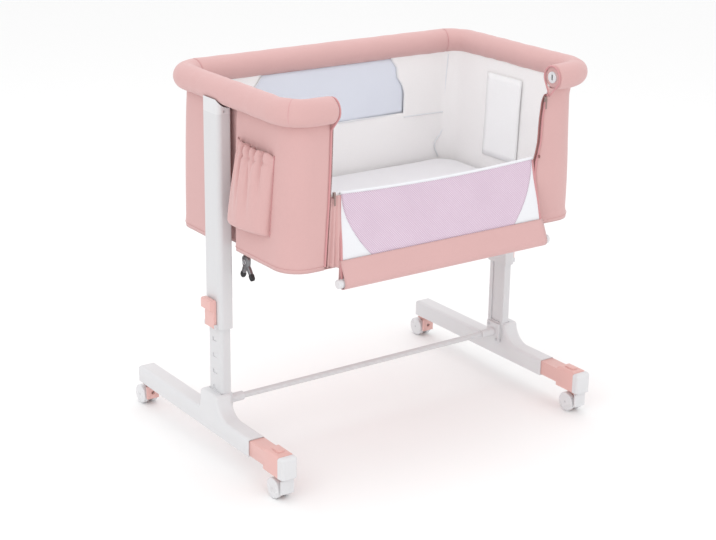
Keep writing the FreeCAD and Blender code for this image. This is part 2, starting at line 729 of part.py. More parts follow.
# ---------------------------------------------------------------- sleeves
for side_name, side in SIDES:
    outer_x = d.sleeve_depth / 2 * side
    # Sleeve: the outer tube that rides up and down on the column.
    sleeve = keep(body(side_name + "_sleeve", d.column_offset * side, column_y))
    section = sketch(sleeve, "XY", side_name + "_sleeve_section", d.sleeve_bottom)
    rectangle(section, -d.sleeve_depth / 2, -d.sleeve_width / 2, d.sleeve_depth / 2, d.sleeve_width / 2)
    pad(sleeve, section, sleeve_top - d.sleeve_bottom)
    soften(sleeve, d.sleeve_round, upright_at(outer_x))
    soften(sleeve, 4.0, upright_at(-outer_x))
    inside = sketch(sleeve, "XY", side_name + "_sleeve_inside", sleeve_top)
    cavity_x = d.sleeve_depth / 2 - d.sleeve_wall
    cavity_y = d.sleeve_width / 2 - d.sleeve_wall
    bevel = d.sleeve_round / 2
    polygon(inside, [
        (-cavity_x * side, -cavity_y),
        ((cavity_x - bevel) * side, -cavity_y),
        (cavity_x * side, -cavity_y + bevel),
        (cavity_x * side, cavity_y - bevel),
        ((cavity_x - bevel) * side, cavity_y),
        (-cavity_x * side, cavity_y),
    ])
    pocket(sleeve, inside)
    # rib on the inner face, under the basket
    rib = sketch(sleeve, "XY", side_name + "_sleeve_rib", d.sleeve_rib_low)
    rib_edge = -outer_x - d.sleeve_rib_depth * side
    rectangle(rib, -outer_x, -d.sleeve_rib_width / 2, rib_edge, d.sleeve_rib_width / 2)
    pad(sleeve, rib, d.sleeve_rib_high - d.sleeve_rib_low)
    # lugs for the height lever
    for hand, tag in ((-1, "front"), (1, "rear")):
        lug = sketch(sleeve, "XZ", "%s_lever_lug_%s" % (side_name, tag), -(d.lever_width / 2 + 0.5) * hand)
        rectangle(lug, outer_x - side, d.sleeve_bottom + 1, outer_x + 8 * side, d.sleeve_bottom + 12)
        pad(sleeve, lug, d.lug_thickness, back=hand > 0)
    pin_hole = sketch(sleeve, "XZ", side_name + "_lever_pin_hole")
    pin_x = outer_x + (d.lever_gap + d.lever_plate / 2) * side
    pin_z = d.sleeve_bottom + d.lever_pin_rise
    circle(pin_hole, pin_x, pin_z, d.lever_pin_radius)
    pocket(sleeve, pin_hole, d.sleeve_width + 10, middle=True)
    half_tooth = d.tooth_width / 2
    window = sketch(sleeve, "YZ", side_name + "_tooth_window", outer_x)
    rectangle(window, -half_tooth - d.tooth_gap, tooth_z - d.tooth_height / 2 - d.tooth_gap,
              half_tooth + d.tooth_gap, tooth_z + d.tooth_height / 2 + d.tooth_gap)
    pocket(sleeve, window, d.sleeve_wall + 1, back=side < 0)

    # Cap: closes the sleeve, cradles the padded rail and holds the tilt pin.
    cap = keep(body(side_name + "_sleeve_cap", d.column_offset * side, column_y))
    cap_plan = sketch(cap, "XY", side_name + "_cap_plan", sleeve_top)
    rectangle(cap_plan, -d.sleeve_depth / 2, -d.sleeve_width / 2, d.sleeve_depth / 2, d.sleeve_width / 2)
    pad(cap, cap_plan, d.sleeve_cap_height)
    soften(cap, d.sleeve_round, upright_at(outer_x))
    soften(cap, 4.0, upright_at(-outer_x))
    saddle = sketch(cap, "XZ", side_name + "_cap_saddle")
    saddle_x = (d.rail_half_length - d.column_offset) * side
    circle(saddle, saddle_x, d.rail_height, d.rail_pad_radius + d.saddle_gap)
    pocket(cap, saddle, d.sleeve_width + 10, middle=True)
    tab_slot = sketch(cap, "XY", side_name + "_tab_slot", sleeve_top + d.sleeve_cap_height)
    half_slot = d.bracket_thickness / 2 + 0.8
    rectangle(tab_slot, -outer_x, -half_slot, outer_x - 7 * side, half_slot)
    pocket(cap, tab_slot)
    pin_bore = sketch(cap, "XZ", side_name + "_tilt_pin_bore")
    circle(pin_bore, 0, pivot_height, d.pivot_pin_radius)
    pocket(cap, pin_bore, d.sleeve_width + 10, middle=True)
    pin_length = d.sleeve_width - 4
    keep(rod(side_name + "_tilt_pin", d.pivot_pin_radius, pin_length,
             (d.column_offset * side, column_y - pin_length / 2, pivot_height), "Y"))

    # Height lever: a plate with a grip, hinged at its lower end.
    lever = keep(body(side_name + "_height_lever", d.column_offset * side, column_y))
    lever_view = sketch(lever, "XZ", side_name + "_lever_side")
    face_x = outer_x + d.lever_gap * side
    low_z = d.sleeve_bottom + 2
    high_z = low_z + d.lever_height
    grip_z = high_z - d.lever_grip_height
    polygon(lever_view, [
        (face_x, low_z),
        (face_x + d.lever_plate * side, low_z),
        (face_x + d.lever_plate * side, grip_z - 4),
        (face_x + d.lever_grip * side, grip_z + 2),
        (face_x + d.lever_grip * side, high_z - 3),
        (face_x + (d.lever_grip - 3) * side, high_z),
        (face_x + 3 * side, high_z),
        (face_x, high_z - 4),
    ])
    pad(lever, lever_view, d.lever_width, middle=True)
    tooth = sketch(lever, "YZ", side_name + "_lever_tooth", face_x + side)
    rectangle(tooth, -half_tooth, tooth_z - d.tooth_height / 2, half_tooth, tooth_z + d.tooth_height / 2)
    pad(lever, tooth, d.lever_gap + d.sleeve_wall + d.tooth_reach + 1, back=side > 0)
    lever_bore = sketch(lever, "XZ", side_name + "_lever_bore")
    circle(lever_bore, pin_x, pin_z, d.lever_pin_radius + d.running_gap)
    pocket(lever, lever_bore, d.lever_width + 4, middle=True)
    lever_pin_length = d.lever_width + 1 + d.lug_thickness * 2
    keep(rod(side_name + "_lever_pin", d.lever_pin_radius, lever_pin_length,
             (d.column_offset * side + pin_x, column_y - lever_pin_length / 2, pin_z), "Y"))


# ---------------------------------------------------------------- bent tubes and outlines
def rounded_outline(points, closed, z=0.0):
    """A flat wire of straight runs and tangent arcs. Each point is x, y and its corner radius."""
    count = len(points)
    corners = []
    for i, (x, y, radius) in enumerate(points):
        here = V(x, y, z)
        if not closed and i in (0, count - 1):
            corners.append((here, here, None))
            continue
        before = V(points[i - 1][0], points[i - 1][1], z)
        after = V(points[(i + 1) % count][0], points[(i + 1) % count][1], z)
        back = (before - here).normalize()
        on = (after - here).normalize()
        half_angle = back.getAngle(on) / 2
        reach = radius / math.tan(half_angle)
        bisector = (back + on).normalize()
        crown = here + bisector * (radius / math.sin(half_angle) - radius)
        corners.append((here + back * reach, here + on * reach, crown))
    edges = []
    for i in range(count):
        start, finish, crown = corners[i]
        if crown is not None:
            edges.append(Part.Arc(start, crown, finish).toShape())
        if closed or i < count - 1:
            edges.append(Part.LineSegment(finish, corners[(i + 1) % count][0]).toShape())
    return Part.Wire(edges)


def tube_along(path, radius, bore=0.0):
    """A round tube along a wire of lines and arcs."""
    start = path.Edges[0].Vertexes[0].Point
    heading = path.Edges[0].tangentAt(path.Edges[0].FirstParameter)

    def solid(r):
        ring = Part.Wire([Part.Circle(start, heading, r).toShape()])
        return path.makePipeShell([ring], True, True)

    shape = solid(radius)
    return shape.cut(solid(bore)) if bore else shape


def feature(label, shape):
    """A piece whose shape is worked out from the sheet's values."""
    obj = doc.addObject("Part::Feature", label)
    obj.Shape = shape
    obj.Placement = FreeCAD.Placement()
    return obj


n = {alias: num(getattr(d, alias)) for alias in DRIVING}
cy = num(column_y)
back_y = num(rail_back_y)
front_y = num(rail_front_y)


def rail_path():
    half = n["rail_half_length"]
    stub = n["stub_end"]
    front_r = n["rail_front_corner"]
    rear_r = n["rail_rear_corner"]
    return rounded_outline([
        (-stub, front_y, 0), (-half, front_y, front_r), (-half, back_y, rear_r),
        (half, back_y, rear_r), (half, front_y, front_r), (stub, front_y, 0),
    ], False, n["rail_height"])


# ---------------------------------------------------------------- top rail
tube_bore = n["rail_tube_radius"] - n["rail_tube_wall"]
keep(feature("top_rail_tube", tube_along(rail_path(), n["rail_tube_radius"], tube_bore)))
padding = tube_along(rail_path(), n["rail_pad_radius"], n["rail_tube_radius"] + 0.2)
brackets = []
ring_radius = n["rail_tube_radius"] + 4
eye_radius = n["pivot_pin_radius"] + 5
for side_name, side in SIDES:
    # Bracket: a plate that hangs from the rail tube to the tilt pin.
    half_plate = n["bracket_thickness"] / 2
    tube_spot = V(n["rail_half_length"] * side, cy - half_plate, n["rail_height"])
    pin_spot = V(n["column_offset"] * side, cy - half_plate, num(pivot_height))
    lean = (pin_spot - tube_spot).normalize()
    across = V(lean.z, 0, -lean.x)
    corners = [tube_spot + across * eye_radius, pin_spot + across * eye_radius,
               pin_spot - across * eye_radius, tube_spot - across * eye_radius]
    plate = Part.Face(Part.makePolygon(corners + corners[:1])).extrude(V(0, 2 * half_plate, 0))
    ring = Part.makeCylinder(ring_radius, 2 * half_plate, tube_spot, V(0, 1, 0))
    eye = Part.makeCylinder(eye_radius, 2 * half_plate, pin_spot, V(0, 1, 0))
    bracket = plate.fuse([ring, eye])
    bracket = bracket.cut(Part.makeCylinder(n["rail_tube_radius"] + 0.1, 2 * half_plate, tube_spot, V(0, 1, 0)))
    pin_hole = n["pivot_pin_radius"] + n["running_gap"]
    bracket = bracket.cut(Part.makeCylinder(pin_hole, 2 * half_plate, pin_spot, V(0, 1, 0)))
    brackets.append(bracket.removeSplitter())
    slit_low = V(min(tube_spot.x - ring_radius * side, tube_spot.x + 34 * side) - 0.5,
                 cy - half_plate - 0.5, n["rail_height"] - n["rail_pad_radius"] - 5)
    slit = Part.makeBox(ring_radius + 35, 2 * half_plate + 1, n["rail_pad_radius"] + 5 + ring_radius + 0.5, slit_low)
    padding = padding.cut(slit)
keep(feature("rail_padding", padding))
keep(feature("rail_brackets", Part.makeCompound(brackets)))

# Sockets: plugs in the open ends of the front stubs, each with a slotted flange.
sockets = []
for side_name, side in SIDES:
    end = V(n["stub_end"] * side, front_y, n["rail_height"])
    inward = V(-side, 0, 0)
    flange = Part.makeCylinder(n["socket_radius"], n["socket_flange"], end, inward)
    spigot = Part.makeCylinder(tube_bore - 0.1, 22, end, inward * -1)
    slot_low = end + V(0, -2.5, -7) if side < 0 else end + V(-n["socket_flange"], -2.5, -7)
    sockets.append(flange.fuse(spigot).cut(Part.makeBox(n["socket_flange"], 5, 14, slot_low)).removeSplitter())
keep(feature("rail_sockets", Part.makeCompound(sockets)))


# ---------------------------------------------------------------- basket
def basket_outline(z, inset, front=None):
    """Plan outline of the fabric at a height: straight runs, a waist beside each column, round corners."""
    low = (n["rail_height"] - z) / (n["rail_height"] - n["basket_bottom"])
    rear = n["end_rear_half"] + n["end_rear_flare"] * low - inset
    waist = n["end_waist_half"] - n["end_waist_draft"] * low - inset
    fore = n["end_front_half"] + n["end_front_flare"] * low - inset
    back = back_y - n["fabric_back_inset"] - inset
    face = front_y + n["fabric_front_inset"] + inset if front is None else front
    half_waist = n["sleeve_width"] / 2 + n["waist_margin"]
    bend = n["waist_bend"]
    step = half_waist + n["waist_step"]
    rear_r = n["fabric_rear_corner"] - inset
    front_r = n["fabric_front_corner"] - inset
    right = [
        (fore, face, front_r), (fore, cy - step, bend), (waist, cy - half_waist, bend),
        (waist, cy + half_waist, bend), (rear, cy + step, bend), (rear, back, rear_r),
    ]
    left = [(-x, y, radius) for x, y, radius in reversed(right)]
    return rounded_outline(right + left, True, z)


def prism(low, high, inset):
    """The basket's space between two heights, drawn in by an inset."""
    return Part.makeLoft([basket_outline(low, inset), basket_outline(high, inset)], True, True)


bottom = n["basket_bottom"]
top = num(fabric_top)
wall = n["fabric_wall"]
opening = n["front_opening"]
reach = n["rail_pad_radius"]
front_gate = Part.makeBox(2 * opening, 3 * reach, top, V(-opening, front_y - reach, bottom + wall))
window_low = n["rail_height"] - n["window_drop"]
window_top = top - 1
window_gate = Part.makeBox(2 * n["window_half_length"], 2 * reach, window_top - window_low,
                           V(-n["window_half_length"], back_y - reach, window_low))

fabric = prism(bottom, top, 0.0).cut(prism(bottom + wall, top + 1, wall))
keep(feature("basket_fabric", fabric.cut(front_gate).cut(window_gate)))

liner_low = num(board_top) + 0.5
liner_inset = wall + n["liner_gap"]
liner = prism(liner_low, top - 1, liner_inset).cut(prism(liner_low - 1, top, liner_inset + n["liner_wall"]))
keep(feature("basket_liner", liner.cut(front_gate).cut(window_gate)))

mesh_back = back_y - n["fabric_back_inset"]
keep(feature("back_window_mesh", Part.makeBox(
    2 * n["window_half_length"] - 1, wall - 1, window_top - window_low - 1,
    V(-n["window_half_length"] + 0.5, mesh_back - wall + 0.5, window_low + 0.5))))

# Low front wall with the bead that the drop side folds on.
fy = num(fold_y)
fz = n["fold_height"]
wall_low = bottom + wall + 0.5
wall_face = fy + n["fold_bead"] - 1
front_wall = Part.makeBox(2 * opening - 2, wall, fz - wall_low, V(1 - opening, wall_face, wall_low))
bead = Part.makeCylinder(n["fold_bead"], 2 * n["fold_half_length"], V(-n["fold_half_length"], fy, fz), V(1, 0, 0))
keep(feature("front_wall", front_wall.fuse(bead).removeSplitter()))


def inner_outline(z, gap):
    """Rounded rectangle that fits inside the liner, for the board and the mattress."""
    low = (n["rail_height"] - z) / (n["rail_height"] - bottom)
    room = liner_inset + n["liner_wall"] + gap
    half = n["end_waist_half"] - n["end_waist_draft"] * low - room
    back = back_y - n["fabric_back_inset"] - room
    face = wall_face + wall + gap + 1
    radius = max(n["fabric_rear_corner"] - room - 10, 20.0)
    return rounded_outline([(half, face, radius), (half, back, radius), (-half, back, radius),
                            (-half, face, radius)], True, z)


frame_z = num(frame_height)
frame_gap = n["frame_tube_radius"] + 2
frame_ring = inner_outline(frame_z, frame_gap)
keep(feature("base_frame", tube_along(frame_ring, n["frame_tube_radius"], n["frame_tube_radius"] - 1.5)))
board_z = num(board_bottom)
board = Part.Face(inner_outline(board_z, 1.0)).extrude(V(0, 0, n["board_thickness"]))
keep(feature("base_board", board))

# Mattress: sides drawn in at top and bottom, a low crown on top.
pad_z = num(board_top) + 0.3
levels = [(0.0, 5.0), (0.25, 1.0), (0.5, 0.0), (0.78, 1.5), (0.93, 7.0), (1.0, 22.0)]
rings = [inner_outline(pad_z + n["mattress_thickness"] * share, n["mattress_gap"] + inset)
         for share, inset in levels]
rings.append(inner_outline(pad_z + n["mattress_thickness"] + n["mattress_crown"], n["mattress_gap"] + 75))
keep(feature("mattress", Part.makeLoft(rings, True, True)))

# ---------------------------------------------------------------- drop side
lean = n["drop_lean"]
fall = math.sqrt(n["drop_length"] ** 2 - lean ** 2)
bar_y = fy - lean
bar_z = fz - fall
along = V(0, -lean, -fall).normalize()
off = V(0, along.z, -along.y)
start = n["fold_bead"] + 0.4
half_top = n["fold_half_length"]
half_low = n["band_half"]
face = V(0, fy, fz)
panel_corners = [face + along * start + V(half_top, 0, 0), face + along * n["drop_length"] + V(half_low, 0, 0),
                 face + along * n["drop_length"] - V(half_low, 0, 0), face + along * start - V(half_top, 0, 0)]
half_thick = n["drop_thickness"] / 2
panel_corners = [p - off * half_thick for p in panel_corners]
panel = Part.Face(Part.makePolygon(panel_corners + panel_corners[:1])).extrude(off * n["drop_thickness"])
bar_start = V(-half_low, bar_y, bar_z)
band = Part.makeCylinder(n["band_radius"], 2 * half_low, bar_start, V(1, 0, 0))
throat = along * -n["band_height"]
wedge_points = [bar_start + off * (n["band_radius"] - 1), bar_start + throat + off * half_thick,
                bar_start + throat - off * half_thick, bar_start - off * (n["band_radius"] - 1)]
wedge = Part.Face(Part.makePolygon(wedge_points + wedge_points[:1])).extrude(V(2 * half_low, 0, 0))
bar_bore = Part.makeCylinder(n["drop_bar_radius"] + 0.2, 2 * half_low, bar_start, V(1, 0, 0))
keep(feature("drop_panel", panel.fuse([band, wedge]).cut(bar_bore).removeSplitter()))

bar_half_length = n["drop_bar_half"]
bar_low = V(-bar_half_length, bar_y, bar_z)
bar_tube = Part.makeCylinder(n["drop_bar_radius"], 2 * bar_half_length, bar_low, V(1, 0, 0))
bar_inside = Part.makeCylinder(n["drop_bar_radius"] - n["drop_bar_wall"], 2 * bar_half_length, bar_low, V(1, 0, 0))
keep(feature("drop_bar", bar_tube.cut(bar_inside)))
plugs = []
plug_tip = n["stub_end"] - n["socket_flange"] - n["plug_gap"]
for side_name, side in SIDES:
    at = V(bar_half_length * side, bar_y, bar_z)
    out = V(side, 0, 0)
    knob = Part.makeCylinder(n["drop_bar_radius"] - 0.3, plug_tip - bar_half_length, at, out)
    knob = knob.makeFillet(2.5, [edge for edge in knob.Edges
                                 if hasattr(edge.Curve, "Radius") and abs(edge.CenterOfMass.x) > plug_tip - 0.1])
    spigot = Part.makeCylinder(n["drop_bar_radius"] - n["drop_bar_wall"] - 0.1, 18, at, out * -1)
    plugs.append(knob.fuse(spigot).removeSplitter())
keep(feature("drop_bar_plugs", Part.makeCompound(plugs)))


# ---------------------------------------------------------------- pockets
def pocket_ring(z, y_low, y_high, x_in, depth, gather, side):
    """One level of a pocket: flat against the fabric, bulged and gathered outside."""
    x_out = x_in + depth
    shoulder = min(depth * 0.6, 14.0)
    x_side = x_out - shoulder * 0.4
    count = int(n["pocket_folds"])
    middle = (y_low + y_high) / 2
    half = middle - y_low - shoulder

    def outer(share):
        return V((x_side + (x_out - x_side) * (1 - share * share)) * side, middle + half * share, z)

    spots = [outer(2.0 * i / count - 1) for i in range(count + 1)]
    inner_low = V(x_in * side, y_low, z)
    inner_high = V(x_in * side, y_high, z)
    edges = [Part.LineSegment(inner_low, spots[0]).toShape()]
    for first, second in zip(spots, spots[1:]):
        crown = (first + second) * 0.5 + V(gather * side, 0, 0)
        edges.append(Part.Arc(first, crown, second).toShape())
    edges.append(Part.LineSegment(spots[-1], inner_high).toShape())
    edges.append(Part.LineSegment(inner_high, inner_low).toShape())
    return Part.Wire(edges)


def pocket_solid(side, shrink, low_z, high_z):
    """A pouch in front of the column, deeper at the bottom."""
    rear_y = cy - n["pocket_rear"]
    spans = ((0.0, 0.75, 6.0, 0.3), (0.12, 1.0, 0.0, 0.45), (0.55, 0.86, 2.0, 0.7), (1.0, 0.55, 7.0, 1.0))
    rings = []
    for share, fullness, tuck, gathered in spans:
        z = low_z + (high_z - low_z) * share
        low = (n["rail_height"] - z) / (n["rail_height"] - bottom)
        x_in = n["end_front_half"] + n["end_front_flare"] * low + 0.4 + shrink
        depth = n["pocket_depth_low"] * fullness - 2 * shrink
        y_low = rear_y - n["pocket_length"] + tuck + shrink
        gather = n["pocket_gather"] * gathered
        rings.append(pocket_ring(z, y_low, rear_y - tuck - shrink, x_in, depth, gather, side))
    return Part.makeLoft(rings, True, True)


pocket_low = bottom + n["pocket_rise"]
pocket_high = n["rail_height"] - n["pocket_drop"]
for side_name, side in SIDES:
    pouch = pocket_solid(side, 0.0, pocket_low, pocket_high)
    hollow = pocket_solid(side, n["pocket_wall"], pocket_low + n["pocket_wall"], pocket_high + 1)
    keep(feature(side_name + "_pocket", pouch.cut(hollow)))

# ---------------------------------------------------------------- zip sliders and the bed strap
slider_heights = {"left": fz + n["left_zip_rise"], "right": n["rail_height"] - n["right_zip_drop"]}
for side_name, side in SIDES:
    slider_z = slider_heights[side_name]
    x = (n["front_opening"] - 2 - n["zip_width"] / 2) * side
    y = front_y + n["fabric_front_inset"] + 2
    low = V(x - n["zip_width"] / 2, y - n["zip_depth"] / 2, slider_z - n["zip_height"] / 2)
    slider = Part.makeBox(n["zip_width"], n["zip_depth"], n["zip_height"], low)
    slider = slider.makeFillet(1.5, [edge for edge in slider.Edges if abs(edge.tangentAt(0).z) > 0.9])
    tab = Part.makeBox(4, 1.2, n["zip_pull"], V(x - 2, y - n["zip_depth"] / 2 - 1.2, slider_z - n["zip_pull"]))
    tab_ring = Part.makeBox(2, 2, 4, V(x - 1, y - n["zip_depth"] / 2 - 1.2, slider_z - 4))
    keep(feature(side_name + "_zip_slider", slider.fuse([tab, tab_ring]).removeSplitter()))

strap_x = -(n["end_waist_half"] - 14)
strap_y = cy - n["sleeve_width"] / 2 - 20
strap_top = bottom - 1.0
strap = Part.makeBox(2, 16, n["strap_drop"] + 4, V(strap_x - 1, strap_y - 8, strap_top - n["strap_drop"] - 4))
clip_top = strap_top - n["strap_drop"]
clip_body = Part.makeBox(n["clip_depth"], n["clip_width"], n["clip_height"],
                         V(strap_x - n["clip_depth"] / 2, strap_y - n["clip_width"] / 2, clip_top - n["clip_height"]))
arms = []
for hand in (-1, 1):
    arm = Part.makeBox(8, 6, 30, V(strap_x - 4, strap_y - 3, clip_top - n["clip_height"] - 22))
    arm.rotate(V(strap_x, strap_y, clip_top - n["clip_height"] + 8), V(1, 0, 0), 24 * hand)
    arms.append(arm)
eye_length = n["clip_width"] + 4
eye = Part.makeCylinder(n["strap_eye_radius"], eye_length,
                        V(strap_x, strap_y - eye_length / 2, strap_top - n["strap_eye_radius"]), V(0, 1, 0))
keep(feature("bed_strap_clip", strap.fuse([clip_body, eye] + arms).removeSplitter()))

# ---------------------------------------------------------------- check and write
doc.recompute()
for obj in doc.Objects:
    if "Invalid" in obj.State or "Error" in obj.State:
        raise ValueError("%s failed: %s" % (obj.Label, obj.State))
for obj in nodes:
    if obj.Shape.isNull() or not obj.Shape.isValid() or not obj.Shape.Solids:
        raise ValueError("%s has no valid solid" % obj.Label)
for obj in nodes:
    obj.Shape.exportStep("parts/%s.step" % obj.Label)
    print("%-28s %d solid(s) %10.1f mm3" % (obj.Label, len(obj.Shape.Solids), obj.Shape.Volume))
box_all = Part.makeCompound([obj.Shape for obj in nodes]).BoundBox
print(len(nodes), "nodes", box_all)
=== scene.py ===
import json
import math

import bmesh
import bpy
import numpy as np
from mathutils import Matrix, Vector


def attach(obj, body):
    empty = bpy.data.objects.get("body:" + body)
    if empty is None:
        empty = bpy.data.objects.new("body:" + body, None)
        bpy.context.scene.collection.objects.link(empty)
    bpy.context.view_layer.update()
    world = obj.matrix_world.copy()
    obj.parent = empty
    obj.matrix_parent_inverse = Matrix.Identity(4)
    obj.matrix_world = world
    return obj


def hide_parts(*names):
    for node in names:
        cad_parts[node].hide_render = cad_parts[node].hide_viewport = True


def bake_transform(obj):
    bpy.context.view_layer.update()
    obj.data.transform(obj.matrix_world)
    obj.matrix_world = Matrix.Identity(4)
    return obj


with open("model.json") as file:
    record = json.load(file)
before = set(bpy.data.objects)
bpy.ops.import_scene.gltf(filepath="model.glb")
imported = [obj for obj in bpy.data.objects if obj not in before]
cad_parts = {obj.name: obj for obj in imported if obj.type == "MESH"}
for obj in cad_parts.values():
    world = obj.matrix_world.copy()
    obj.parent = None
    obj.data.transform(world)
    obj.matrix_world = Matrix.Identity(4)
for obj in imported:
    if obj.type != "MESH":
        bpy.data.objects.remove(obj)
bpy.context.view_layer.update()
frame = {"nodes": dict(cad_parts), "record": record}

# Everything is in metres, in the part's own frame: X along the crib, -Y the drop side, +Z up.
COLUMN_Y = -0.026
RAIL_HALF = 0.424
RAIL_Z = 0.898
RAIL_BACK = COLUMN_Y + 0.205
RAIL_FRONT = COLUMN_Y - 0.296
RAIL_RADIUS = 0.031
STUB_END = 0.318
FOLD_Y = RAIL_FRONT + 0.019
FOLD_Z = 0.699
HEM_Z = 0.530
BAR = np.array([0.0, FOLD_Y - 0.037, FOLD_Z - math.sqrt(0.203 ** 2 - 0.037 ** 2)])
BAR_HALF = 0.300
WALL_BACK = RAIL_BACK - 0.005
WALL_FRONT = RAIL_FRONT + 0.006
WRAP_INSET = 0.0018
LINER_INSET = 0.0072
WAIST_HALF = 0.411
FOLD_HALF = 0.2835
MATTRESS_HALF = 0.3885
SIDES = (("left", -1), ("right", 1))


# ---- shader graph
class Wire:
    """A node output that can be used in arithmetic."""

    def __init__(self, graph, socket):
        self.graph = graph
        self.socket = socket

    def _math(self, operation, first, second=None):
        values = [first] if second is None else [first, second]
        return self.graph.node("ShaderNodeMath", {"operation": operation}, values)

    def __add__(self, other):
        return self._math("ADD", self, other)

    def __radd__(self, other):
        return self._math("ADD", other, self)

    def __sub__(self, other):
        return self._math("SUBTRACT", self, other)

    def __rsub__(self, other):
        return self._math("SUBTRACT", other, self)

    def __mul__(self, other):
        return self._math("MULTIPLY", self, other)

    def __rmul__(self, other):
        return self._math("MULTIPLY", other, self)

    def __truediv__(self, other):
        return self._math("DIVIDE", self, other)

    def sin(self):
        return self._math("SINE", self)

    def abs(self):
        return self._math("ABSOLUTE", self)


class Graph:
    """Builds one material."""

    def __init__(self, name, roughness=0.6, metallic=0.0, sheen=0.0, coat=0.0, specular=0.5):
        self.material = bpy.data.materials.new(name)
        self.material.use_nodes = True
        self.tree = self.material.node_tree
        self.surface = self.tree.nodes["Principled BSDF"]
        self.surface.inputs["Roughness"].default_value = roughness
        self.surface.inputs["Metallic"].default_value = metallic
        self.surface.inputs["Sheen Weight"].default_value = sheen
        self.surface.inputs["Coat Weight"].default_value = coat
        self.surface.inputs["Specular IOR Level"].default_value = specular

    def node(self, kind, settings=None, values=(), output=0):
        made = self.tree.nodes.new(kind)
        for key, value in (settings or {}).items():
            setattr(made, key, value)
        items = values.items() if isinstance(values, dict) else enumerate(values)
        for key, value in items:
            if isinstance(value, Wire):
                self.tree.links.new(value.socket, made.inputs[key])
            else:
                made.inputs[key].default_value = value
        return Wire(self, made.outputs[output])

    def place(self, scale=(1.0, 1.0, 1.0)):
        coords = self.node("ShaderNodeTexCoord", output="Object")
        return self.node("ShaderNodeMapping", None, {"Vector": coords, "Scale": scale})

    def axes(self, vector):
        made = self.node("ShaderNodeSeparateXYZ", None, [vector])
        outputs = made.socket.node.outputs
        return [Wire(self, outputs[i]) for i in range(3)]

    def noise(self, vector, scale, detail=2.0):
        values = {"Vector": vector, "Scale": scale, "Detail": detail}
        return self.node("ShaderNodeTexNoise", None, values, "Fac")

    def mix(self, share, first, second):
        made = self.tree.nodes.new("ShaderNodeMix")
        made.data_type = "RGBA"
        pairs = ((made.inputs[0], share), (made.inputs[6], first), (made.inputs[7], second))
        for socket, value in pairs:
            if isinstance(value, Wire):
                self.tree.links.new(value.socket, socket)
            else:
                socket.default_value = value
        return Wire(self, made.outputs[2])

    def ramp(self, value, stops):
        made = self.tree.nodes.new("ShaderNodeValToRGB")
        ramp = made.color_ramp
        while len(ramp.elements) < len(stops):
            ramp.elements.new(0.5)
        for element, (position, color) in zip(ramp.elements, stops):
            element.position = position
            element.color = color
        self.tree.links.new(value.socket, made.inputs[0])
        return Wire(self, made.outputs[0])

    def into(self, name, value):
        self.tree.links.new(value.socket, self.surface.inputs[name])

    def bump(self, height, strength, distance):
        values = {"Strength": strength, "Distance": distance, "Height": height}
        self.into("Normal", self.node("ShaderNodeBump", None, values))


def srgb(red, green, blue):
    """A colour as the eye reads it, turned to linear light."""
    def linear(value):
        value /= 255.0
        return value / 12.92 if value <= 0.04045 else ((value + 0.055) / 1.055) ** 2.4
    return (linear(red), linear(green), linear(blue), 1.0)


def shade(color, factor):
    return tuple(c * factor for c in color[:3]) + (1.0,)


def cloth_material(name, color, thread=0.0011, depth=0.00025, mottle=0.06, sheen=0.25):
    """Plain woven cloth: crossed threads, slubs and a soft uneven tone."""
    g = Graph(name, roughness=0.85, sheen=sheen, specular=0.25)
    spot = g.place()
    x, y, z = g.axes(spot)
    count = 2 * math.pi / thread
    warp = ((x + y) * count).sin().abs()
    weft = (z * count).sin().abs()
    slub = g.noise(spot, 260.0, 2.0)
    tone = g.noise(spot, 9.0, 3.0)
    height = (warp + weft) * 0.35 + slub * 0.5
    low = shade(color, 1.0 - mottle)
    high = shade(color, 1.0 + mottle * 0.6)
    fine = g.mix(slub, shade(color, 0.95), shade(color, 1.04))
    broad = g.mix(tone, low, high)
    g.into("Base Color", g.mix(0.5, fine, broad))
    g.into("Roughness", slub * 0.12 + 0.78)
    g.bump(height, 0.35, depth)
    return g.material


def net_material(name, thread_color, gap_color, pitch=0.0042, see_through=0.35):
    """Knitted mesh with a lattice of small round gaps."""
    g = Graph(name, roughness=0.7, sheen=0.2, specular=0.3)
    spot = g.place()
    x, _, z = g.axes(spot)
    count = math.pi / pitch
    drift = g.noise(spot, 35.0, 2.0) * 0.25
    gaps = ((x + z) * count + drift).sin() * ((x - z) * count + drift).sin()
    mask = g.ramp(gaps.abs(), [(0.35, (0, 0, 0, 1)), (0.75, (1, 1, 1, 1))])
    tone = g.noise(spot, 14.0, 3.0)
    base = g.mix(mask, thread_color, gap_color)
    g.into("Base Color", g.mix(tone * 0.35, base, shade(thread_color, 0.9)))
    g.into("Alpha", 1.0 - mask * see_through)
    g.bump(1.0 - mask, 0.4, 0.0004)
    return g.material


def plastic_material(name, color, roughness=0.42, grain=900.0, coat=0.0):
    """Moulded plastic with a fine skin texture."""
    g = Graph(name, roughness=roughness, coat=coat)
    spot = g.place()
    skin = g.noise(spot, grain, 2.0)
    wear = g.noise(spot, 22.0, 4.0)
    g.into("Base Color", g.mix(wear, shade(color, 0.97), shade(color, 1.02)))
    g.into("Roughness", wear * 0.10 + (roughness - 0.05))
    g.bump(skin, 0.12, 0.0002)
    return g.material


def painted_material(name, color, roughness=0.33):
    """Powder coat over metal: faint orange peel and a light scuffing."""
    g = Graph(name, roughness=roughness, coat=0.15)
    spot = g.place()
    peel = g.noise(spot, 420.0, 1.0)
    scuff = g.noise(g.place((1.0, 1.0, 0.12)), 60.0, 4.0)
    g.into("Base Color", g.mix(scuff, shade(color, 0.975), shade(color, 1.015)))
    g.into("Roughness", scuff * 0.12 + (roughness - 0.05))
    g.bump(peel, 0.10, 0.0002)
    return g.material


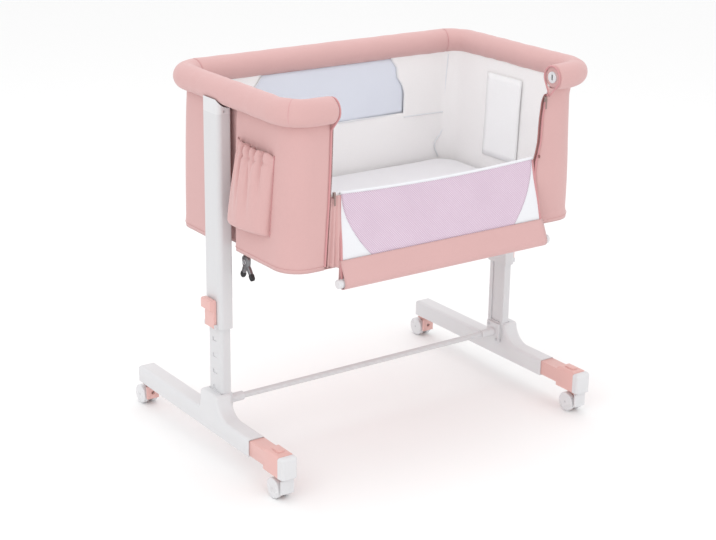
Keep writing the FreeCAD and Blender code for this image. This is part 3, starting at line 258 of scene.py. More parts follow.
def steel_material(name, color, roughness=0.3):
    """Drawn steel with fine length-wise lines."""
    g = Graph(name, roughness=roughness, metallic=1.0)
    lines = g.noise(g.place((1.0, 0.06, 1.0)), 900.0, 2.0)
    g.into("Base Color", g.mix(lines, shade(color, 0.85), shade(color, 1.1)))
    g.into("Roughness", lines * 0.2 + (roughness - 0.08))
    g.bump(lines, 0.1, 0.0001)
    return g.material


PINK = srgb(211, 170, 168)
WHITE_CLOTH = srgb(229, 228, 231)
LINER = srgb(243, 241, 241)
NET_THREAD = srgb(202, 174, 196)
NET_GAP = srgb(250, 240, 248)
WINDOW_THREAD = srgb(222, 227, 239)
WINDOW_GAP = srgb(237, 240, 247)

MATERIALS = {
    "white_plastic": plastic_material("white_plastic", srgb(219, 219, 221), 0.36),
    "white_metal": painted_material("white_powder_coat", srgb(212, 212, 214)),
    "pink_plastic": plastic_material("pink_plastic", srgb(226, 180, 174), 0.36),
    "wheel_plastic": plastic_material("wheel_plastic", srgb(221, 221, 223), 0.28, 500.0, 0.2),
    "steel": steel_material("pin_steel", (0.60, 0.60, 0.62, 1.0)),
    "steel_tube": painted_material("tube_paint", srgb(214, 214, 216), 0.4),
    "pink_fabric": cloth_material("pink_cloth", PINK),
    "liner_fabric": cloth_material("liner_cloth", LINER, 0.0009, 0.00015, 0.03),
    "back_mesh": net_material("pale_net", WINDOW_THREAD, WINDOW_GAP, 0.0034, 0.1),
    "drop_mesh": net_material("lilac_net", NET_THREAD, NET_GAP, 0.0054, 0.12),
    "mattress_fabric": cloth_material("mattress_cloth", WHITE_CLOTH, 0.0014, 0.0003, 0.02),
    "board": plastic_material("board_grey", srgb(200, 195, 188), 0.6),
    "clip_metal": steel_material("clip_metal", (0.30, 0.30, 0.31, 1.0), 0.35),
}
TAPE = cloth_material("zip_tape", srgb(170, 122, 120), 0.0008, 0.0002, 0.05)
TEETH = plastic_material("zip_teeth", srgb(140, 92, 88), 0.35)
PIPING = cloth_material("pink_piping", srgb(205, 148, 150), 0.0007, 0.0002, 0.05)
WHITE_TAPE = cloth_material("white_binding", srgb(230, 231, 235), 0.0008, 0.0002, 0.02)
THREAD = cloth_material("sewing_thread", srgb(196, 142, 142), 0.0004, 0.0001, 0.05)
LABEL = cloth_material("label_cloth", srgb(244, 244, 245), 0.0007, 0.0001, 0.01)
BLACK_RUBBER = plastic_material("black_rubber", srgb(38, 38, 40), 0.6)
WEBBING = cloth_material("grey_webbing", srgb(120, 120, 122), 0.0012, 0.0003, 0.08)
ZINC = steel_material("zinc_clamp", (0.24, 0.24, 0.25, 1.0), 0.36)

ZIP_METAL = steel_material("zip_metal", (0.36, 0.27, 0.25, 1.0), 0.38)

for subpart in frame["record"]["subparts"]:
    node_name = subpart["node"]
    slots = frame["nodes"][node_name].data.materials
    for i in range(len(slots)):
        slots[i] = ZIP_METAL if node_name.endswith("_zip_slider") else MATERIALS[subpart["material_slot"]]

# ---- mesh tools
def new_object(name, data):
    """An object at the origin, in the scene."""
    obj = bpy.data.objects.new(name, data)
    bpy.context.scene.collection.objects.link(obj)
    return obj


def mesh_object(name, points, faces, look, body):
    """A mesh piece that rides on a body, or on none yet. Its look is a material, or a slot of the record."""
    slot = look if isinstance(look, str) else None
    mesh = bpy.data.meshes.new(name)
    mesh.from_pydata([tuple(map(float, p)) for p in points], [], faces)
    mesh.materials.append(MATERIALS[slot] if slot else look)
    obj = new_object(name, mesh)
    tidy_mesh(obj)
    if body:
        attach(obj, body)
    return obj


def shade_smooth(mesh):
    mesh.polygons.foreach_set("use_smooth", [True] * len(mesh.polygons))
    mesh.update()


def tidy_mesh(obj):
    """Merges doubles and turns the faces outwards."""
    work = bmesh.new()
    work.from_mesh(obj.data)
    bmesh.ops.remove_doubles(work, verts=work.verts, dist=1e-6)
    bmesh.ops.recalc_face_normals(work, faces=work.faces)
    work.to_mesh(obj.data)
    work.free()
    shade_smooth(obj.data)


def grid_faces(rows, columns, wrap=False, start=0):
    """Quads of a grid of points, row by row."""
    faces = []
    for r in range(rows - 1):
        for c in range(columns if wrap else columns - 1):
            a = start + r * columns + c
            b = start + r * columns + (c + 1) % columns
            faces.append((a, b, b + columns, a + columns))
    return faces


def ring_faces(rings, sides, open_start=False):
    """Faces of rings of points in a row, closed by a cap at each end."""
    faces = grid_faces(rings, sides, wrap=True)
    if not open_start:
        faces.append(tuple(range(sides))[::-1])
    faces.append(tuple(range((rings - 1) * sides, rings * sides)))
    return faces


def thicken(obj, depth, offset=0.0):
    """Gives a sheet its thickness."""
    wall = obj.modifiers.new("wall", "SOLIDIFY")
    wall.thickness = depth
    wall.offset = offset
    wall.use_even_offset = False
    return obj


def cloth_grid(name, rows, look, body, depth):
    """A sheet of cloth through rows of points."""
    faces = grid_faces(len(rows), len(rows[0]))
    return thicken(mesh_object(name, np.concatenate(rows), faces, look, body), depth)


def settle(obj):
    """Turns a piece and its modifiers into one plain mesh."""
    bpy.context.view_layer.update()
    graph = bpy.context.evaluated_depsgraph_get()
    made = bpy.data.meshes.new_from_object(obj.evaluated_get(graph))
    obj.modifiers.clear()
    obj.data = made
    return obj


def frames_along(points, closed=False, plane=None):
    """Two normals at each point of a line."""
    points = np.asarray(points, float)
    if closed:
        ahead = np.roll(points, -1, 0) - np.roll(points, 1, 0)
    else:
        ahead = np.gradient(points, axis=0)
    tangent = ahead / np.linalg.norm(ahead, axis=1)[:, None]
    up = np.array([0.0, 0.0, 1.0])
    if plane is not None:
        up = np.array(plane, float)
    elif abs(tangent[:, 2]).max() > 0.85:
        up = np.array([0.0, 1.0, 0.0])
    side = np.cross(tangent, up)
    side /= np.linalg.norm(side, axis=1)[:, None]
    return side, np.cross(side, tangent)


def turns(count):
    """Angles of evenly spaced points round a circle."""
    return np.arange(count) * 2 * math.pi / count


def tube(name, points, radius, look, body, sides=10, closed=False, plane=None):
    """A round tube along a line: a loop, or with a cap at each end."""
    points = np.asarray(points, float)
    angles = turns(sides)
    rings = [p + (np.outer(np.cos(angles), s) + np.outer(np.sin(angles), o)) * radius
             for p, s, o in zip(points, *frames_along(points, closed, plane))]
    if closed:
        last = (len(points) - 1) * sides
        faces = grid_faces(len(points), sides, wrap=True)
        faces += [(last + c, last + (c + 1) % sides, (c + 1) % sides, c) for c in range(sides)]
    else:
        faces = ring_faces(len(points), sides)
    return mesh_object(name, np.concatenate(rings), faces, look, body)


def corner_path(corners, counts, arc_count=10):
    """Points along straight runs and tangent arcs. Each corner is x, y and a radius."""
    corners = [(np.array([x, y], float), r) for x, y, r in corners]
    out = []
    previous = corners[0][0]
    for i in range(1, len(corners)):
        here, radius = corners[i]
        if i == len(corners) - 1 or radius <= 0:
            start, arc = here, []
        else:
            back = corners[i - 1][0] - here
            on = corners[i + 1][0] - here
            back /= np.linalg.norm(back)
            on /= np.linalg.norm(on)
            half = math.acos(np.clip(back @ on, -1, 1)) / 2
            reach = radius / math.tan(half)
            start = here + back * reach
            finish = here + on * reach
            middle = here + (back + on) / np.linalg.norm(back + on) * (radius / math.sin(half))
            first = math.atan2(*(start - middle)[::-1])
            turn = math.atan2(*(finish - middle)[::-1]) - first
            turn = (turn + math.pi) % (2 * math.pi) - math.pi
            steps = np.arange(1, arc_count + 1) / arc_count
            arc = [middle + radius * np.array([math.cos(first + turn * s), math.sin(first + turn * s)])
                   for s in steps]
        run = np.linspace(0, 1, counts[i - 1] + 1)[:-1]
        out += [previous + (start - previous) * s for s in run]
        out.append(start)
        if len(arc):
            out += arc[:-1]
            previous = arc[-1]
        else:
            previous = here
    return np.array(out)


def bar_along(name, points, widths, depths, look, body, power=4.0, plane=(1, 0, 0)):
    """A bar of rounded oblong section along a line. The widths and depths change from point to point."""
    sides = 24
    points = np.asarray(points, float)
    side, other = frames_along(points, False, plane)
    angles = turns(sides)
    across = np.sign(np.cos(angles)) * abs(np.cos(angles)) ** (2 / power)
    over = np.sign(np.sin(angles)) * abs(np.sin(angles)) ** (2 / power)
    rings = [p + np.outer(across * w / 2, s) + np.outer(over * d / 2, o)
             for p, s, o, w, d in zip(points, side, other, widths, depths)]
    return mesh_object(name, np.concatenate(rings), ring_faces(len(points), sides), look, body)


# Faces that meet at less than the first angle become one, edges past the second are rounded,
# and what still meets at more than the third is shaded as an edge.
FLAT_ANGLE, EDGE_ANGLE, SHARP_ANGLE = math.radians(1.5), math.radians(35), math.radians(32)


def ease(node_name, body, width):
    """A copy of a moulded part with its sharp edges rounded, shown in its place."""
    source = frame["nodes"][node_name]
    mesh = source.data.copy()
    mesh.name = node_name + "_moulding"
    obj = new_object(node_name + "_moulding", mesh)
    work = bmesh.new()
    work.from_mesh(mesh)
    bmesh.ops.remove_doubles(work, verts=work.verts, dist=1e-5)
    bmesh.ops.dissolve_limit(work, angle_limit=FLAT_ANGLE, verts=work.verts, edges=work.edges)
    work.to_mesh(mesh)
    work.free()
    bevel = obj.modifiers.new("round", "BEVEL")
    bevel.width = width
    bevel.segments = 3
    bevel.limit_method = "ANGLE"
    bevel.angle_limit = EDGE_ANGLE
    shade_smooth(mesh)
    settle(obj)
    sharp = bmesh.new()
    sharp.from_mesh(obj.data)
    for edge in sharp.edges:
        edge.smooth = len(edge.link_faces) == 2 and edge.calc_face_angle(0.0) < SHARP_ANGLE
    sharp.to_mesh(obj.data)
    sharp.free()
    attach(obj, body)
    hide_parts(node_name)
    return obj


def ripple(points, seed, scale, amount):
    """Smooth uneven offsets, the same each run."""
    rng = np.random.default_rng(seed)
    total = np.zeros(len(points))
    for _ in range(6):
        direction = rng.normal(size=3) * scale
        phase = rng.uniform(0, 2 * math.pi)
        total += np.sin(points @ direction + phase)
    return total * amount / 6


def bell(value, centre, width):
    """1 at the centre, fading to 0 within about twice the width."""
    return np.exp(-((value - centre) / width) ** 2)


# ---- stitches and teeth that follow a line
def row_tree():
    """Node tree: small bars set along a line at a pitch."""
    tree = bpy.data.node_groups.new("row_along_line", "GeometryNodeTree")
    face = tree.interface
    face.new_socket("Geometry", in_out="INPUT", socket_type="NodeSocketGeometry")
    for label in ("Pitch", "Bar length", "Bar width", "Bar height"):
        face.new_socket(label, in_out="INPUT", socket_type="NodeSocketFloat")
    face.new_socket("Material", in_out="INPUT", socket_type="NodeSocketMaterial")
    face.new_socket("Geometry", in_out="OUTPUT", socket_type="NodeSocketGeometry")
    nodes = tree.nodes
    enter = nodes.new("NodeGroupInput")
    leave = nodes.new("NodeGroupOutput")
    to_curve = nodes.new("GeometryNodeMeshToCurve")
    resample = nodes.new("GeometryNodeResampleCurve")
    resample.mode = "LENGTH"
    bar = nodes.new("GeometryNodeMeshCube")
    size = nodes.new("ShaderNodeCombineXYZ")
    place = nodes.new("GeometryNodeInstanceOnPoints")
    tangent = nodes.new("GeometryNodeInputTangent")
    align = nodes.new("FunctionNodeAlignEulerToVector")
    align.axis = "X"
    real = nodes.new("GeometryNodeRealizeInstances")
    paint = nodes.new("GeometryNodeSetMaterial")
    for source, out_name, target, in_name in (
            (enter, "Geometry", to_curve, "Mesh"), (to_curve, "Curve", resample, "Curve"),
            (enter, "Pitch", resample, "Length"), (enter, "Bar length", size, "X"),
            (enter, "Bar width", size, "Y"), (enter, "Bar height", size, "Z"),
            (size, "Vector", bar, "Size"), (resample, "Curve", place, "Points"),
            (bar, "Mesh", place, "Instance"), (tangent, "Tangent", align, "Vector"),
            (align, "Rotation", place, "Rotation"), (place, "Instances", real, "Geometry"),
            (real, "Geometry", paint, "Geometry"), (enter, "Material", paint, "Material"),
            (paint, "Geometry", leave, "Geometry")):
        tree.links.new(source.outputs[out_name], target.inputs[in_name])
    return tree


ROW_TREE = row_tree()


def row(name, lines, pitch, bar, material, body):
    """Bars along one or more lines: stitches, or the teeth of a zip."""
    points, edges = [], []
    for line in lines:
        start = len(points)
        points += [tuple(map(float, p)) for p in line]
        edges += [(start + i, start + i + 1) for i in range(len(line) - 1)]
    guide = bpy.data.meshes.new(name + "_line")
    guide.from_pydata(points, edges, [])
    obj = new_object(name, guide)
    modifier = obj.modifiers.new("row", "NODES")
    modifier.node_group = ROW_TREE
    sizes = {"Pitch": pitch, "Bar length": bar[0], "Bar width": bar[1], "Bar height": bar[2],
             "Material": material}
    for item in ROW_TREE.interface.items_tree:
        if item.in_out == "INPUT" and item.name in sizes:
            modifier[item.identifier] = sizes[item.name]
    settle(obj)
    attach(obj, body)
    return obj


# ---- padded rail
def rail_line():
    """Centre line of the rail, from the left stub round the back to the right stub."""
    flat = corner_path([
        (-STUB_END, RAIL_FRONT, 0), (-RAIL_HALF, RAIL_FRONT, 0.065), (-RAIL_HALF, RAIL_BACK, 0.058),
        (RAIL_HALF, RAIL_BACK, 0.058), (RAIL_HALF, RAIL_FRONT, 0.065), (STUB_END, RAIL_FRONT, 0),
    ], [6, 44, 92, 44, 6], 16)
    flat = np.vstack([flat, [[STUB_END, RAIL_FRONT]]])
    return np.column_stack([flat, np.full(len(flat), RAIL_Z)])


def rail_cover():
    """The padded sleeve, pinched at its seams, with a thread line round each seam."""
    line = rail_line()
    steps = np.concatenate([[0], np.cumsum(np.linalg.norm(np.diff(line, axis=0), axis=1))])
    total = steps[-1]
    keep = np.concatenate([[True], np.diff(steps) > 1e-7])
    line, steps = line[keep], steps[keep]
    fine = 0.012
    wanted = np.unique(np.concatenate([
        np.linspace(0, fine, 7), np.linspace(fine, total - fine, 430), np.linspace(total - fine, total, 7)]))
    line = np.column_stack([np.interp(wanted, steps, line[:, i]) for i in range(3)])
    side, other = frames_along(line)
    sides = 48
    angles = turns(sides)
    end_seam, back_seam, end_round = 0.096, 0.376, 0.008
    seams = [end_seam, total - end_seam, total * 0.5 + back_seam, total * 0.5 - back_seam]
    verts = []
    for run, p, s, o in zip(wanted, line, side, other):
        edge = min(run, total - run)
        radius = np.full(sides, RAIL_RADIUS - 0.0004)
        if edge < end_round:
            radius -= end_round - math.sqrt(max(end_round ** 2 - (end_round - edge) ** 2, 0.0))
        for seam in seams:
            radius += 0.0006 * bell(run, seam, 0.012) - 0.0016 * bell(run, seam, 0.0022)
        under = np.angle(np.exp(1j * (angles + math.pi / 2)))
        radius -= 0.0022 * bell(under, 0.0, 0.10)
        verts.append(p + (np.outer(np.cos(angles), s) + np.outer(np.sin(angles), o)) * radius[:, None])
    verts = np.concatenate(verts)
    out = verts - np.repeat(line, sides, axis=0)
    out /= np.linalg.norm(out, axis=1)[:, None]
    pulls = ripple(verts, 3, 38.0, 0.0011) + ripple(verts, 5, 110.0, 0.0004)
    verts += out * pulls[:, None]
    cover = mesh_object("rail_cover", verts, ring_faces(len(line), sides), "pink_fabric", "basket")
    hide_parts("rail_padding")
    for number, seam in enumerate(seams):
        spot = np.array([np.interp(seam, wanted, line[:, i]) for i in range(3)])
        near = int(np.argmin(abs(wanted - seam)))
        ring = [spot + (side[near] * math.cos(a) + other[near] * math.sin(a)) * (RAIL_RADIUS - 0.0008)
                for a in angles]
        normal = np.cross(ring[0] - ring[12], ring[24] - ring[12])
        tube("rail_seam_%d" % number, ring, 0.0006, PIPING, "basket", 6, closed=True, plane=normal)


rail_cover()


def stub_loop(side_name, sign):
    """Piping round the end of a stub. It runs down to a point where the zip starts."""
    x = sign * (STUB_END - 0.0022)
    ring, foot = 0.0268, np.array([RAIL_FRONT + 0.0055, RAIL_Z - 0.046])
    centre = np.array([RAIL_FRONT, RAIL_Z])
    reach = np.linalg.norm(foot - centre)
    down = (foot - centre) / reach
    across = np.array([-down[1], down[0]])
    touch = math.acos(ring / reach)
    arc = [centre + ring * (down * math.cos(a) + across * math.sin(a))
           for a in np.linspace(touch, 2 * math.pi - touch, 49)]
    near = np.linspace(arc[-1], foot, 10)[1:]
    away = np.linspace(foot, arc[0], 10)[1:-1]
    loop = np.vstack([arc, near, away])
    line = [(x, y, z) for y, z in loop]
    tube(side_name + "_stub_piping", line, 0.0024, PIPING, "basket", 8, closed=True, plane=(1, 0, 0))
    tip = [centre + (down * math.cos(a) + across * math.sin(a)) * ring
           for a in np.linspace(touch, -touch, 13)]
    rows = [[(x, *(p + (foot - p) * share)) for p in tip] for share in np.linspace(0.0, 0.96, 8)]
    cloth_grid(side_name + "_stub_flap", rows, "pink_fabric", "basket", 0.0016)


for side_name, sign in SIDES:
    stub_loop(side_name, sign)

# ---- fabric body of the basket
GATE_LEVELS = [0.870, 0.762, 0.688, 0.612, 0.540, HEM_Z - 0.01]
GATE_HALF = [0.3165, 0.319, 0.322, 0.327, 0.331, 0.332]
RIGHT_GATE_LEVELS = [0.866, 0.844, 0.793, 0.737, 0.712, 0.690, 0.655, 0.620, 0.573, 0.545, 0.512]
RIGHT_GATE_HALF = [0.3165, 0.3115, 0.306, 0.304, 0.299, 0.2925, 0.2915, 0.2945, 0.302, 0.312, 0.327]
WINDOW_LEVELS = [0.722, 0.775, 0.800, 0.818, 0.844, 0.866]
WINDOW_HALF = [0.2385, 0.2395, 0.231, 0.216, 0.214, 0.197]


def gate_edge(z, sign):
    """Edge of the front opening: the right one curls in beside the drop side."""
    if sign < 0:
        return float(np.interp(z, GATE_LEVELS[::-1], GATE_HALF[::-1])), WALL_FRONT
    x = float(np.interp(z, RIGHT_GATE_LEVELS[::-1], RIGHT_GATE_HALF[::-1]))
    return x, WALL_FRONT + 0.0088 * min(max((STUB_END - 0.0015 - x) / 0.006, 0.0), 1.0)


def window_half(z):
    if z < WINDOW_LEVELS[0]:
        return WINDOW_HALF[0]
    return float(np.interp(z, WINDOW_LEVELS, WINDOW_HALF))


def half_outline(z, inset, first_x, sign=-1):
    """Right half of the plan outline, from the back round to the front opening's edge."""
    low = (RAIL_Z - z) / (RAIL_Z - HEM_Z)
    rear = 0.422 + 0.010 * low - inset
    waist = WAIST_HALF - 0.014 * low - inset
    fore = 0.419 + 0.008 * low - inset
    back = WALL_BACK - inset
    face = WALL_FRONT + inset
    if inset == LINER_INSET:  # the liner hangs straight from the waist to the corners
        rear = fore = waist + 0.001
    half_waist = 0.043
    edge_x, edge_y = gate_edge(z, sign)
    return corner_path([
        (first_x, back, 0), (rear, back, 0.050 - inset), (rear, COLUMN_Y + half_waist + 0.018, 0.010),
        (waist, COLUMN_Y + half_waist, 0.010), (waist, COLUMN_Y - half_waist, 0.010),
        (fore, COLUMN_Y - half_waist - 0.018, 0.010), (fore, face, 0.062 - inset),
        (edge_x, edge_y + inset, 0),
    ], [14, 6, 3, 8, 3, 8, 6], 9)


def wall_points(levels, inset, sign):
    """Grid of points of one half of the wall, one row for each level."""
    rows = []
    for z in levels:
        flat = half_outline(z, inset, window_half(z), sign)
        edge_x, edge_y = gate_edge(z, sign)
        flat = np.vstack([flat, [[edge_x, edge_y + inset]]])
        rows.append(np.column_stack([flat[:, 0] * sign, flat[:, 1], np.full(len(flat), z)]))
    return rows


def back_panel(levels, inset):
    """Rows across the back, under the window."""
    xs = np.linspace(-WINDOW_HALF[0], WINDOW_HALF[0], 25)
    return [np.column_stack([xs, np.full(len(xs), WALL_BACK - inset), np.full(len(xs), z)]) for z in levels]


def outline_normals(points):
    """Outward direction in plan for a wall point."""
    out = np.zeros_like(points)
    out[:, 0] = np.sign(points[:, 0]) * np.clip((abs(points[:, 0]) - 0.33) / 0.08, 0, 1)
    out[:, 1] = np.sign(points[:, 1] - COLUMN_Y) * np.clip((abs(points[:, 1] - COLUMN_Y) - 0.10) / 0.08, 0, 1)
    size = np.linalg.norm(out, axis=1)
    size[size < 1e-6] = 1.0
    return out / size[:, None]


def wall_object(name, inset, top, bottom, depth, folds, look):
    """The whole wall: two halves round the ends and a panel under the window."""
    above = np.linspace(top, WINDOW_LEVELS[0], 20)
    below = np.linspace(WINDOW_LEVELS[0], bottom, 26)[1:]
    levels = np.concatenate([above, below])
    right = wall_points(levels, inset, 1)
    columns = len(right[0])
    right = np.concatenate(right)
    left = np.concatenate(wall_points(levels, inset, -1))
    faces = grid_faces(len(levels), columns)
    faces += [f[::-1] for f in grid_faces(len(levels), columns, start=len(right))]
    low = np.concatenate([[WINDOW_LEVELS[0]], below])
    panel = back_panel(low, inset)
    faces += grid_faces(len(low), len(panel[0]), start=2 * len(right))
    verts = np.concatenate([right, left, np.concatenate(panel)])
    verts = verts + outline_normals(verts) * folds(verts)[:, None]
    return thicken(mesh_object(name, verts, faces, look, "basket"), depth)


def outer_folds(p):
    """Tension folds of the outer cloth: slack near the corners, firm at the hem and rail."""
    height = np.clip((p[:, 2] - HEM_Z) / (0.866 - HEM_Z), 0, 1)
    slack = np.sin(math.pi * height) ** 0.8
    along = p[:, 0] * 0.7 + p[:, 1]
    sway = np.sin(along * 21.0 + p[:, 2] * 5.0) * 0.0016 + np.sin(along * 47.0 - p[:, 2] * 9.0) * 0.0007
    near_column = bell(p[:, 1], COLUMN_Y, 0.07)
    hem = 0.0012 * bell(p[:, 2], HEM_Z + 0.012, 0.008)
    puckers = 0.0007 * np.sin(along * 190.0) * bell(p[:, 2], 0.862, 0.018)
    near_gate = np.clip((0.350 - abs(p[:, 0])) / 0.035, 0, 1) * (p[:, 1] < COLUMN_Y)
    return ((0.002 + sway) * slack + hem + puckers) * (1 - near_column) * (1 - near_gate)


def inner_folds(p):
    """The liner hangs looser: shallow upright waves."""
    height = np.clip((p[:, 2] - 0.56) / 0.30, 0, 1)
    slack = np.sin(math.pi * height)
    wave = np.sin(p[:, 0] * 26.0 + p[:, 1] * 34.0) * 0.0014 + np.sin(p[:, 0] * 61.0 - p[:, 1] * 55.0) * 0.0006
    return (wave - 0.0012) * slack


wrap = wall_object("basket_wrap", WRAP_INSET, 0.8705, HEM_Z, 0.0022, outer_folds, "pink_fabric")
liner = wall_object("basket_liner_cloth", LINER_INSET, 0.8775, 0.556, 0.0014, inner_folds, "liner_fabric")
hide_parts("basket_fabric")
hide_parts("basket_liner")


def rounded_plan(half, front, back, radius, z):
    """An oblong loop with round corners, at one height."""
    flat = corner_path([(0, back, 0), (half, back, radius), (half, front, radius), (-half, front, radius),
                        (-half, back, radius), (0, back, 0)], [10, 12, 20, 12, 10], 12)
    return np.column_stack([flat, np.full(len(flat), z)])


def basket_floor():
    """Cloth floor under the board."""
    inset = 0.002
    right = half_outline(HEM_Z, inset, 0.0)
    right = np.vstack([right, [[0.0, WALL_FRONT + inset]]])
    left = right[::-1] * np.array([-1.0, 1.0])
    loop = np.vstack([right, left[1:-1]])
    loop = loop[np.linalg.norm(loop - np.roll(loop, 1, 0), axis=1) > 1e-6]
    centre = np.array([0.0, (RAIL_BACK + RAIL_FRONT) / 2])
    rings = []
    for share, sag in ((1.0, 0.0005), (0.985, 0.0002), (0.9, 0.0012), (0.6, 0.002), (0.25, 0.002)):
        flat = centre + (loop - centre) * share
        rings.append(np.column_stack([flat, np.full(len(flat), HEM_Z + sag)]))
    faces = ring_faces(len(rings), len(loop), open_start=True)
    thicken(mesh_object("basket_floor", np.concatenate(rings), faces, "pink_fabric", "basket"), 0.002, 1.0)


basket_floor()

# ---- back window
window_y = WALL_BACK - 0.0058
window_low, window_high = 0.719, 0.869
window_rows = []
for z in np.linspace(window_low, window_high, 16):
    xs = np.linspace(-0.2435, 0.2435, 40)
    rise = (z - window_low) / (window_high - window_low)
    wave = 0.0007 * np.sin(xs * 30.0) * math.sin(math.pi * rise)
    window_rows.append(np.column_stack([xs, window_y + wave, np.full(len(xs), z)]))
window = cloth_grid("back_window_net", window_rows, "back_mesh", "basket", 0.0009)
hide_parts("back_window_mesh")

# ---- seams of the liner
inner_y = WALL_BACK - 0.0094
CURTAIN_Z = [0.864, 0.846, 0.793, 0.720, 0.668, 0.651, 0.640, 0.627, 0.612, 0.596, 0.587]
CURTAIN_X = [0.381, 0.3794, 0.3762, 0.3745, 0.3720, 0.3690, 0.3560, 0.3442, 0.3460, 0.3550, 0.3595]
for side_name, sign in SIDES:
    rim = [(sign * (window_half(z) + 0.0010), inner_y, z) for z in np.linspace(0.866, 0.721, 40)]
    tube(side_name + "_window_edging", rim, 0.0012, WHITE_TAPE, "basket", 6)
    across = [(sign * x, inner_y - 0.0004, 0.7085 - 0.0015 * math.sin(x * 18.0))
              for x in np.linspace(0.240, 0.372, 24)]
    tube(side_name + "_liner_seam", across, 0.0019, WHITE_TAPE, "basket", 6)
    levels = np.linspace(CURTAIN_Z[0], CURTAIN_Z[-1], 60)
    curtain = np.interp(levels, CURTAIN_Z[::-1], CURTAIN_X[::-1])
    curtain = np.convolve(np.pad(curtain, 2, "edge"), np.ones(5) / 5, "valid")
    edge = [(sign * x, inner_y - 0.0008 - 0.004 * max((x - 0.3745) / 0.007, 0.0), z)
            for x, z in zip(curtain, levels)]
    tube(side_name + "_curtain_seam", edge, 0.0018, WHITE_TAPE, "basket", 6)
sill = [(x, inner_y - 0.0002, 0.7205) for x in np.linspace(-0.2385, 0.2385, 30)]
tube("window_sill_edging", sill, 0.0012, WHITE_TAPE, "basket", 6)

# ---- front wall and fold binding
def fold_sag(x):
    """How far the folded edge hangs below its two ends."""
    return 0.0078 * (1 - min((x / FOLD_HALF) ** 2, 1.0)) - 0.0016


front_low = 0.540
front_rows = []
for share in np.linspace(0, 1, 14):
    xs = np.linspace(-0.3095, 0.3095, 50)
    row_z = np.array([front_low + (FOLD_Z - 0.0010 - fold_sag(x) - front_low) * share for x in xs])
    y = FOLD_Y + 0.0040 + 0.0006 * np.sin(xs * 24.0) * math.sin(math.pi * share)
    front_rows.append(np.column_stack([xs, y, row_z]))
front_wall = cloth_grid("front_wall_cloth", front_rows, "liner_fabric", "basket", 0.0032)
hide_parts("front_wall")
binding = [(x, FOLD_Y - 0.0006, FOLD_Z - fold_sag(x)) for x in np.linspace(-FOLD_HALF, FOLD_HALF, 60)]
tube("fold_binding", binding, 0.0034, WHITE_TAPE, "basket", 10)

# ---- mattress
def mattress():
    """A thin pad with a crowned top and tucked edges. Each step of its profile is a height and an inset."""
    base, thick = 0.5560, 0.030
    front = FOLD_Y + 0.0100
    back = RAIL_BACK - 0.0172
    profile = [(0.0, 0.006), (0.10, 0.002), (0.35, 0.0), (0.70, 0.0006), (0.88, 0.004), (0.97, 0.011),
               (1.0, 0.024), (1.02, 0.05), (1.05, 0.09), (1.07, 0.14), (1.08, 0.19)]
    rings = []
    for share, inset in profile:
        radius = max(0.055 - inset * 0.3, 0.012)
        room = min(inset, (back - front) / 2 - 0.02)
        height = base + thick * share
        rings.append(rounded_plan(MATTRESS_HALF - inset, front + room, back - room, radius, height))
    faces = ring_faces(len(rings), len(rings[0]))
    return mesh_object("mattress_pad", np.concatenate(rings), faces, "mattress_fabric", "mattress")


PUFF_FRAMES = 20


def puff(obj, voxel, pressure, cap):
    """Blows the pad up a little with a short cloth run, so that its cover wrinkles like cloth."""
    remesh = obj.modifiers.new("even", "REMESH")
    remesh.mode = "VOXEL"
    remesh.voxel_size = voxel
    bpy.context.view_layer.objects.active = obj
    for other in bpy.context.selected_objects:
        other.select_set(False)
    obj.select_set(True)
    bpy.ops.object.modifier_apply(modifier="even")
    before = np.array([v.co for v in obj.data.vertices])
    cloth = obj.modifiers.new("cloth", "CLOTH")
    cloth.settings.use_pressure = True
    cloth.settings.uniform_pressure_force = pressure
    cloth.settings.effector_weights.gravity = 0.0
    cloth.settings.quality = 5
    scene = bpy.context.scene
    for number in range(1, PUFF_FRAMES + 1):
        scene.frame_set(number)
    graph = bpy.context.evaluated_depsgraph_get()
    result = obj.evaluated_get(graph).to_mesh()
    after = np.array([v.co for v in result.vertices])
    obj.evaluated_get(graph).to_mesh_clear()
    obj.modifiers.remove(cloth)
    scene.frame_set(1)
    move = after - before
    length = np.linalg.norm(move, axis=1)
    move *= np.minimum(1.0, cap / np.maximum(length, 1e-9))[:, None]
    points = before + move
    points[:, 2] = np.maximum(points[:, 2], before[:, 2].min())
    points[:, 0] = np.clip(points[:, 0], -MATTRESS_HALF, MATTRESS_HALF)
    points[:, 1] = np.clip(points[:, 1], FOLD_Y + 0.0085, RAIL_BACK - 0.0170)
    obj.data.vertices.foreach_set("co", points.ravel())
    shade_smooth(obj.data)


pad = mattress()
puff(pad, 0.006, 3.0, 0.004)
soften = pad.modifiers.new("smooth", "SUBSURF")
soften.levels = 1
soften.render_levels = 1
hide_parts("mattress")

# ---- drop side
DOWN = BAR - np.array([0.0, FOLD_Y, FOLD_Z])
DROP = np.linalg.norm(DOWN)
DOWN = DOWN / DROP
OUT = np.array([0.0, DOWN[2], -DOWN[1]])
TOP_GAP = 0.0042
BAND_TOP = DROP - 0.052


def drop_point(x, run, lift=0.0):
    """A point of the drop side: across, down from the fold, and out from its plane."""
    return np.array([x, FOLD_Y, FOLD_Z]) + DOWN * run + OUT * lift


def side_half(run):
    """Half width of the drop side: it widens from the fold down to the bar."""
    return FOLD_HALF + (BAR_HALF - FOLD_HALF) * run / DROP


def net_edge(run):
    """Where the net meets the white side panel: a smooth curve from the upper corner to the band."""
    share = min(max((run - 0.004) / 0.149, 0.0), 1.0)
    return 0.2795 - 0.064 * share ** 2.1 - 0.006 * share


def belly(x, run):
    """Slack of the hanging cloth: it bows, with soft folds from the upper corners."""
    slack = math.sin(math.pi * min(run / DROP / 0.78, 1.0))
    return (0.006 * (1 - (x / 0.31) ** 2) + 0.0016 * math.sin(x * 23.0 + run * 40.0)) * slack


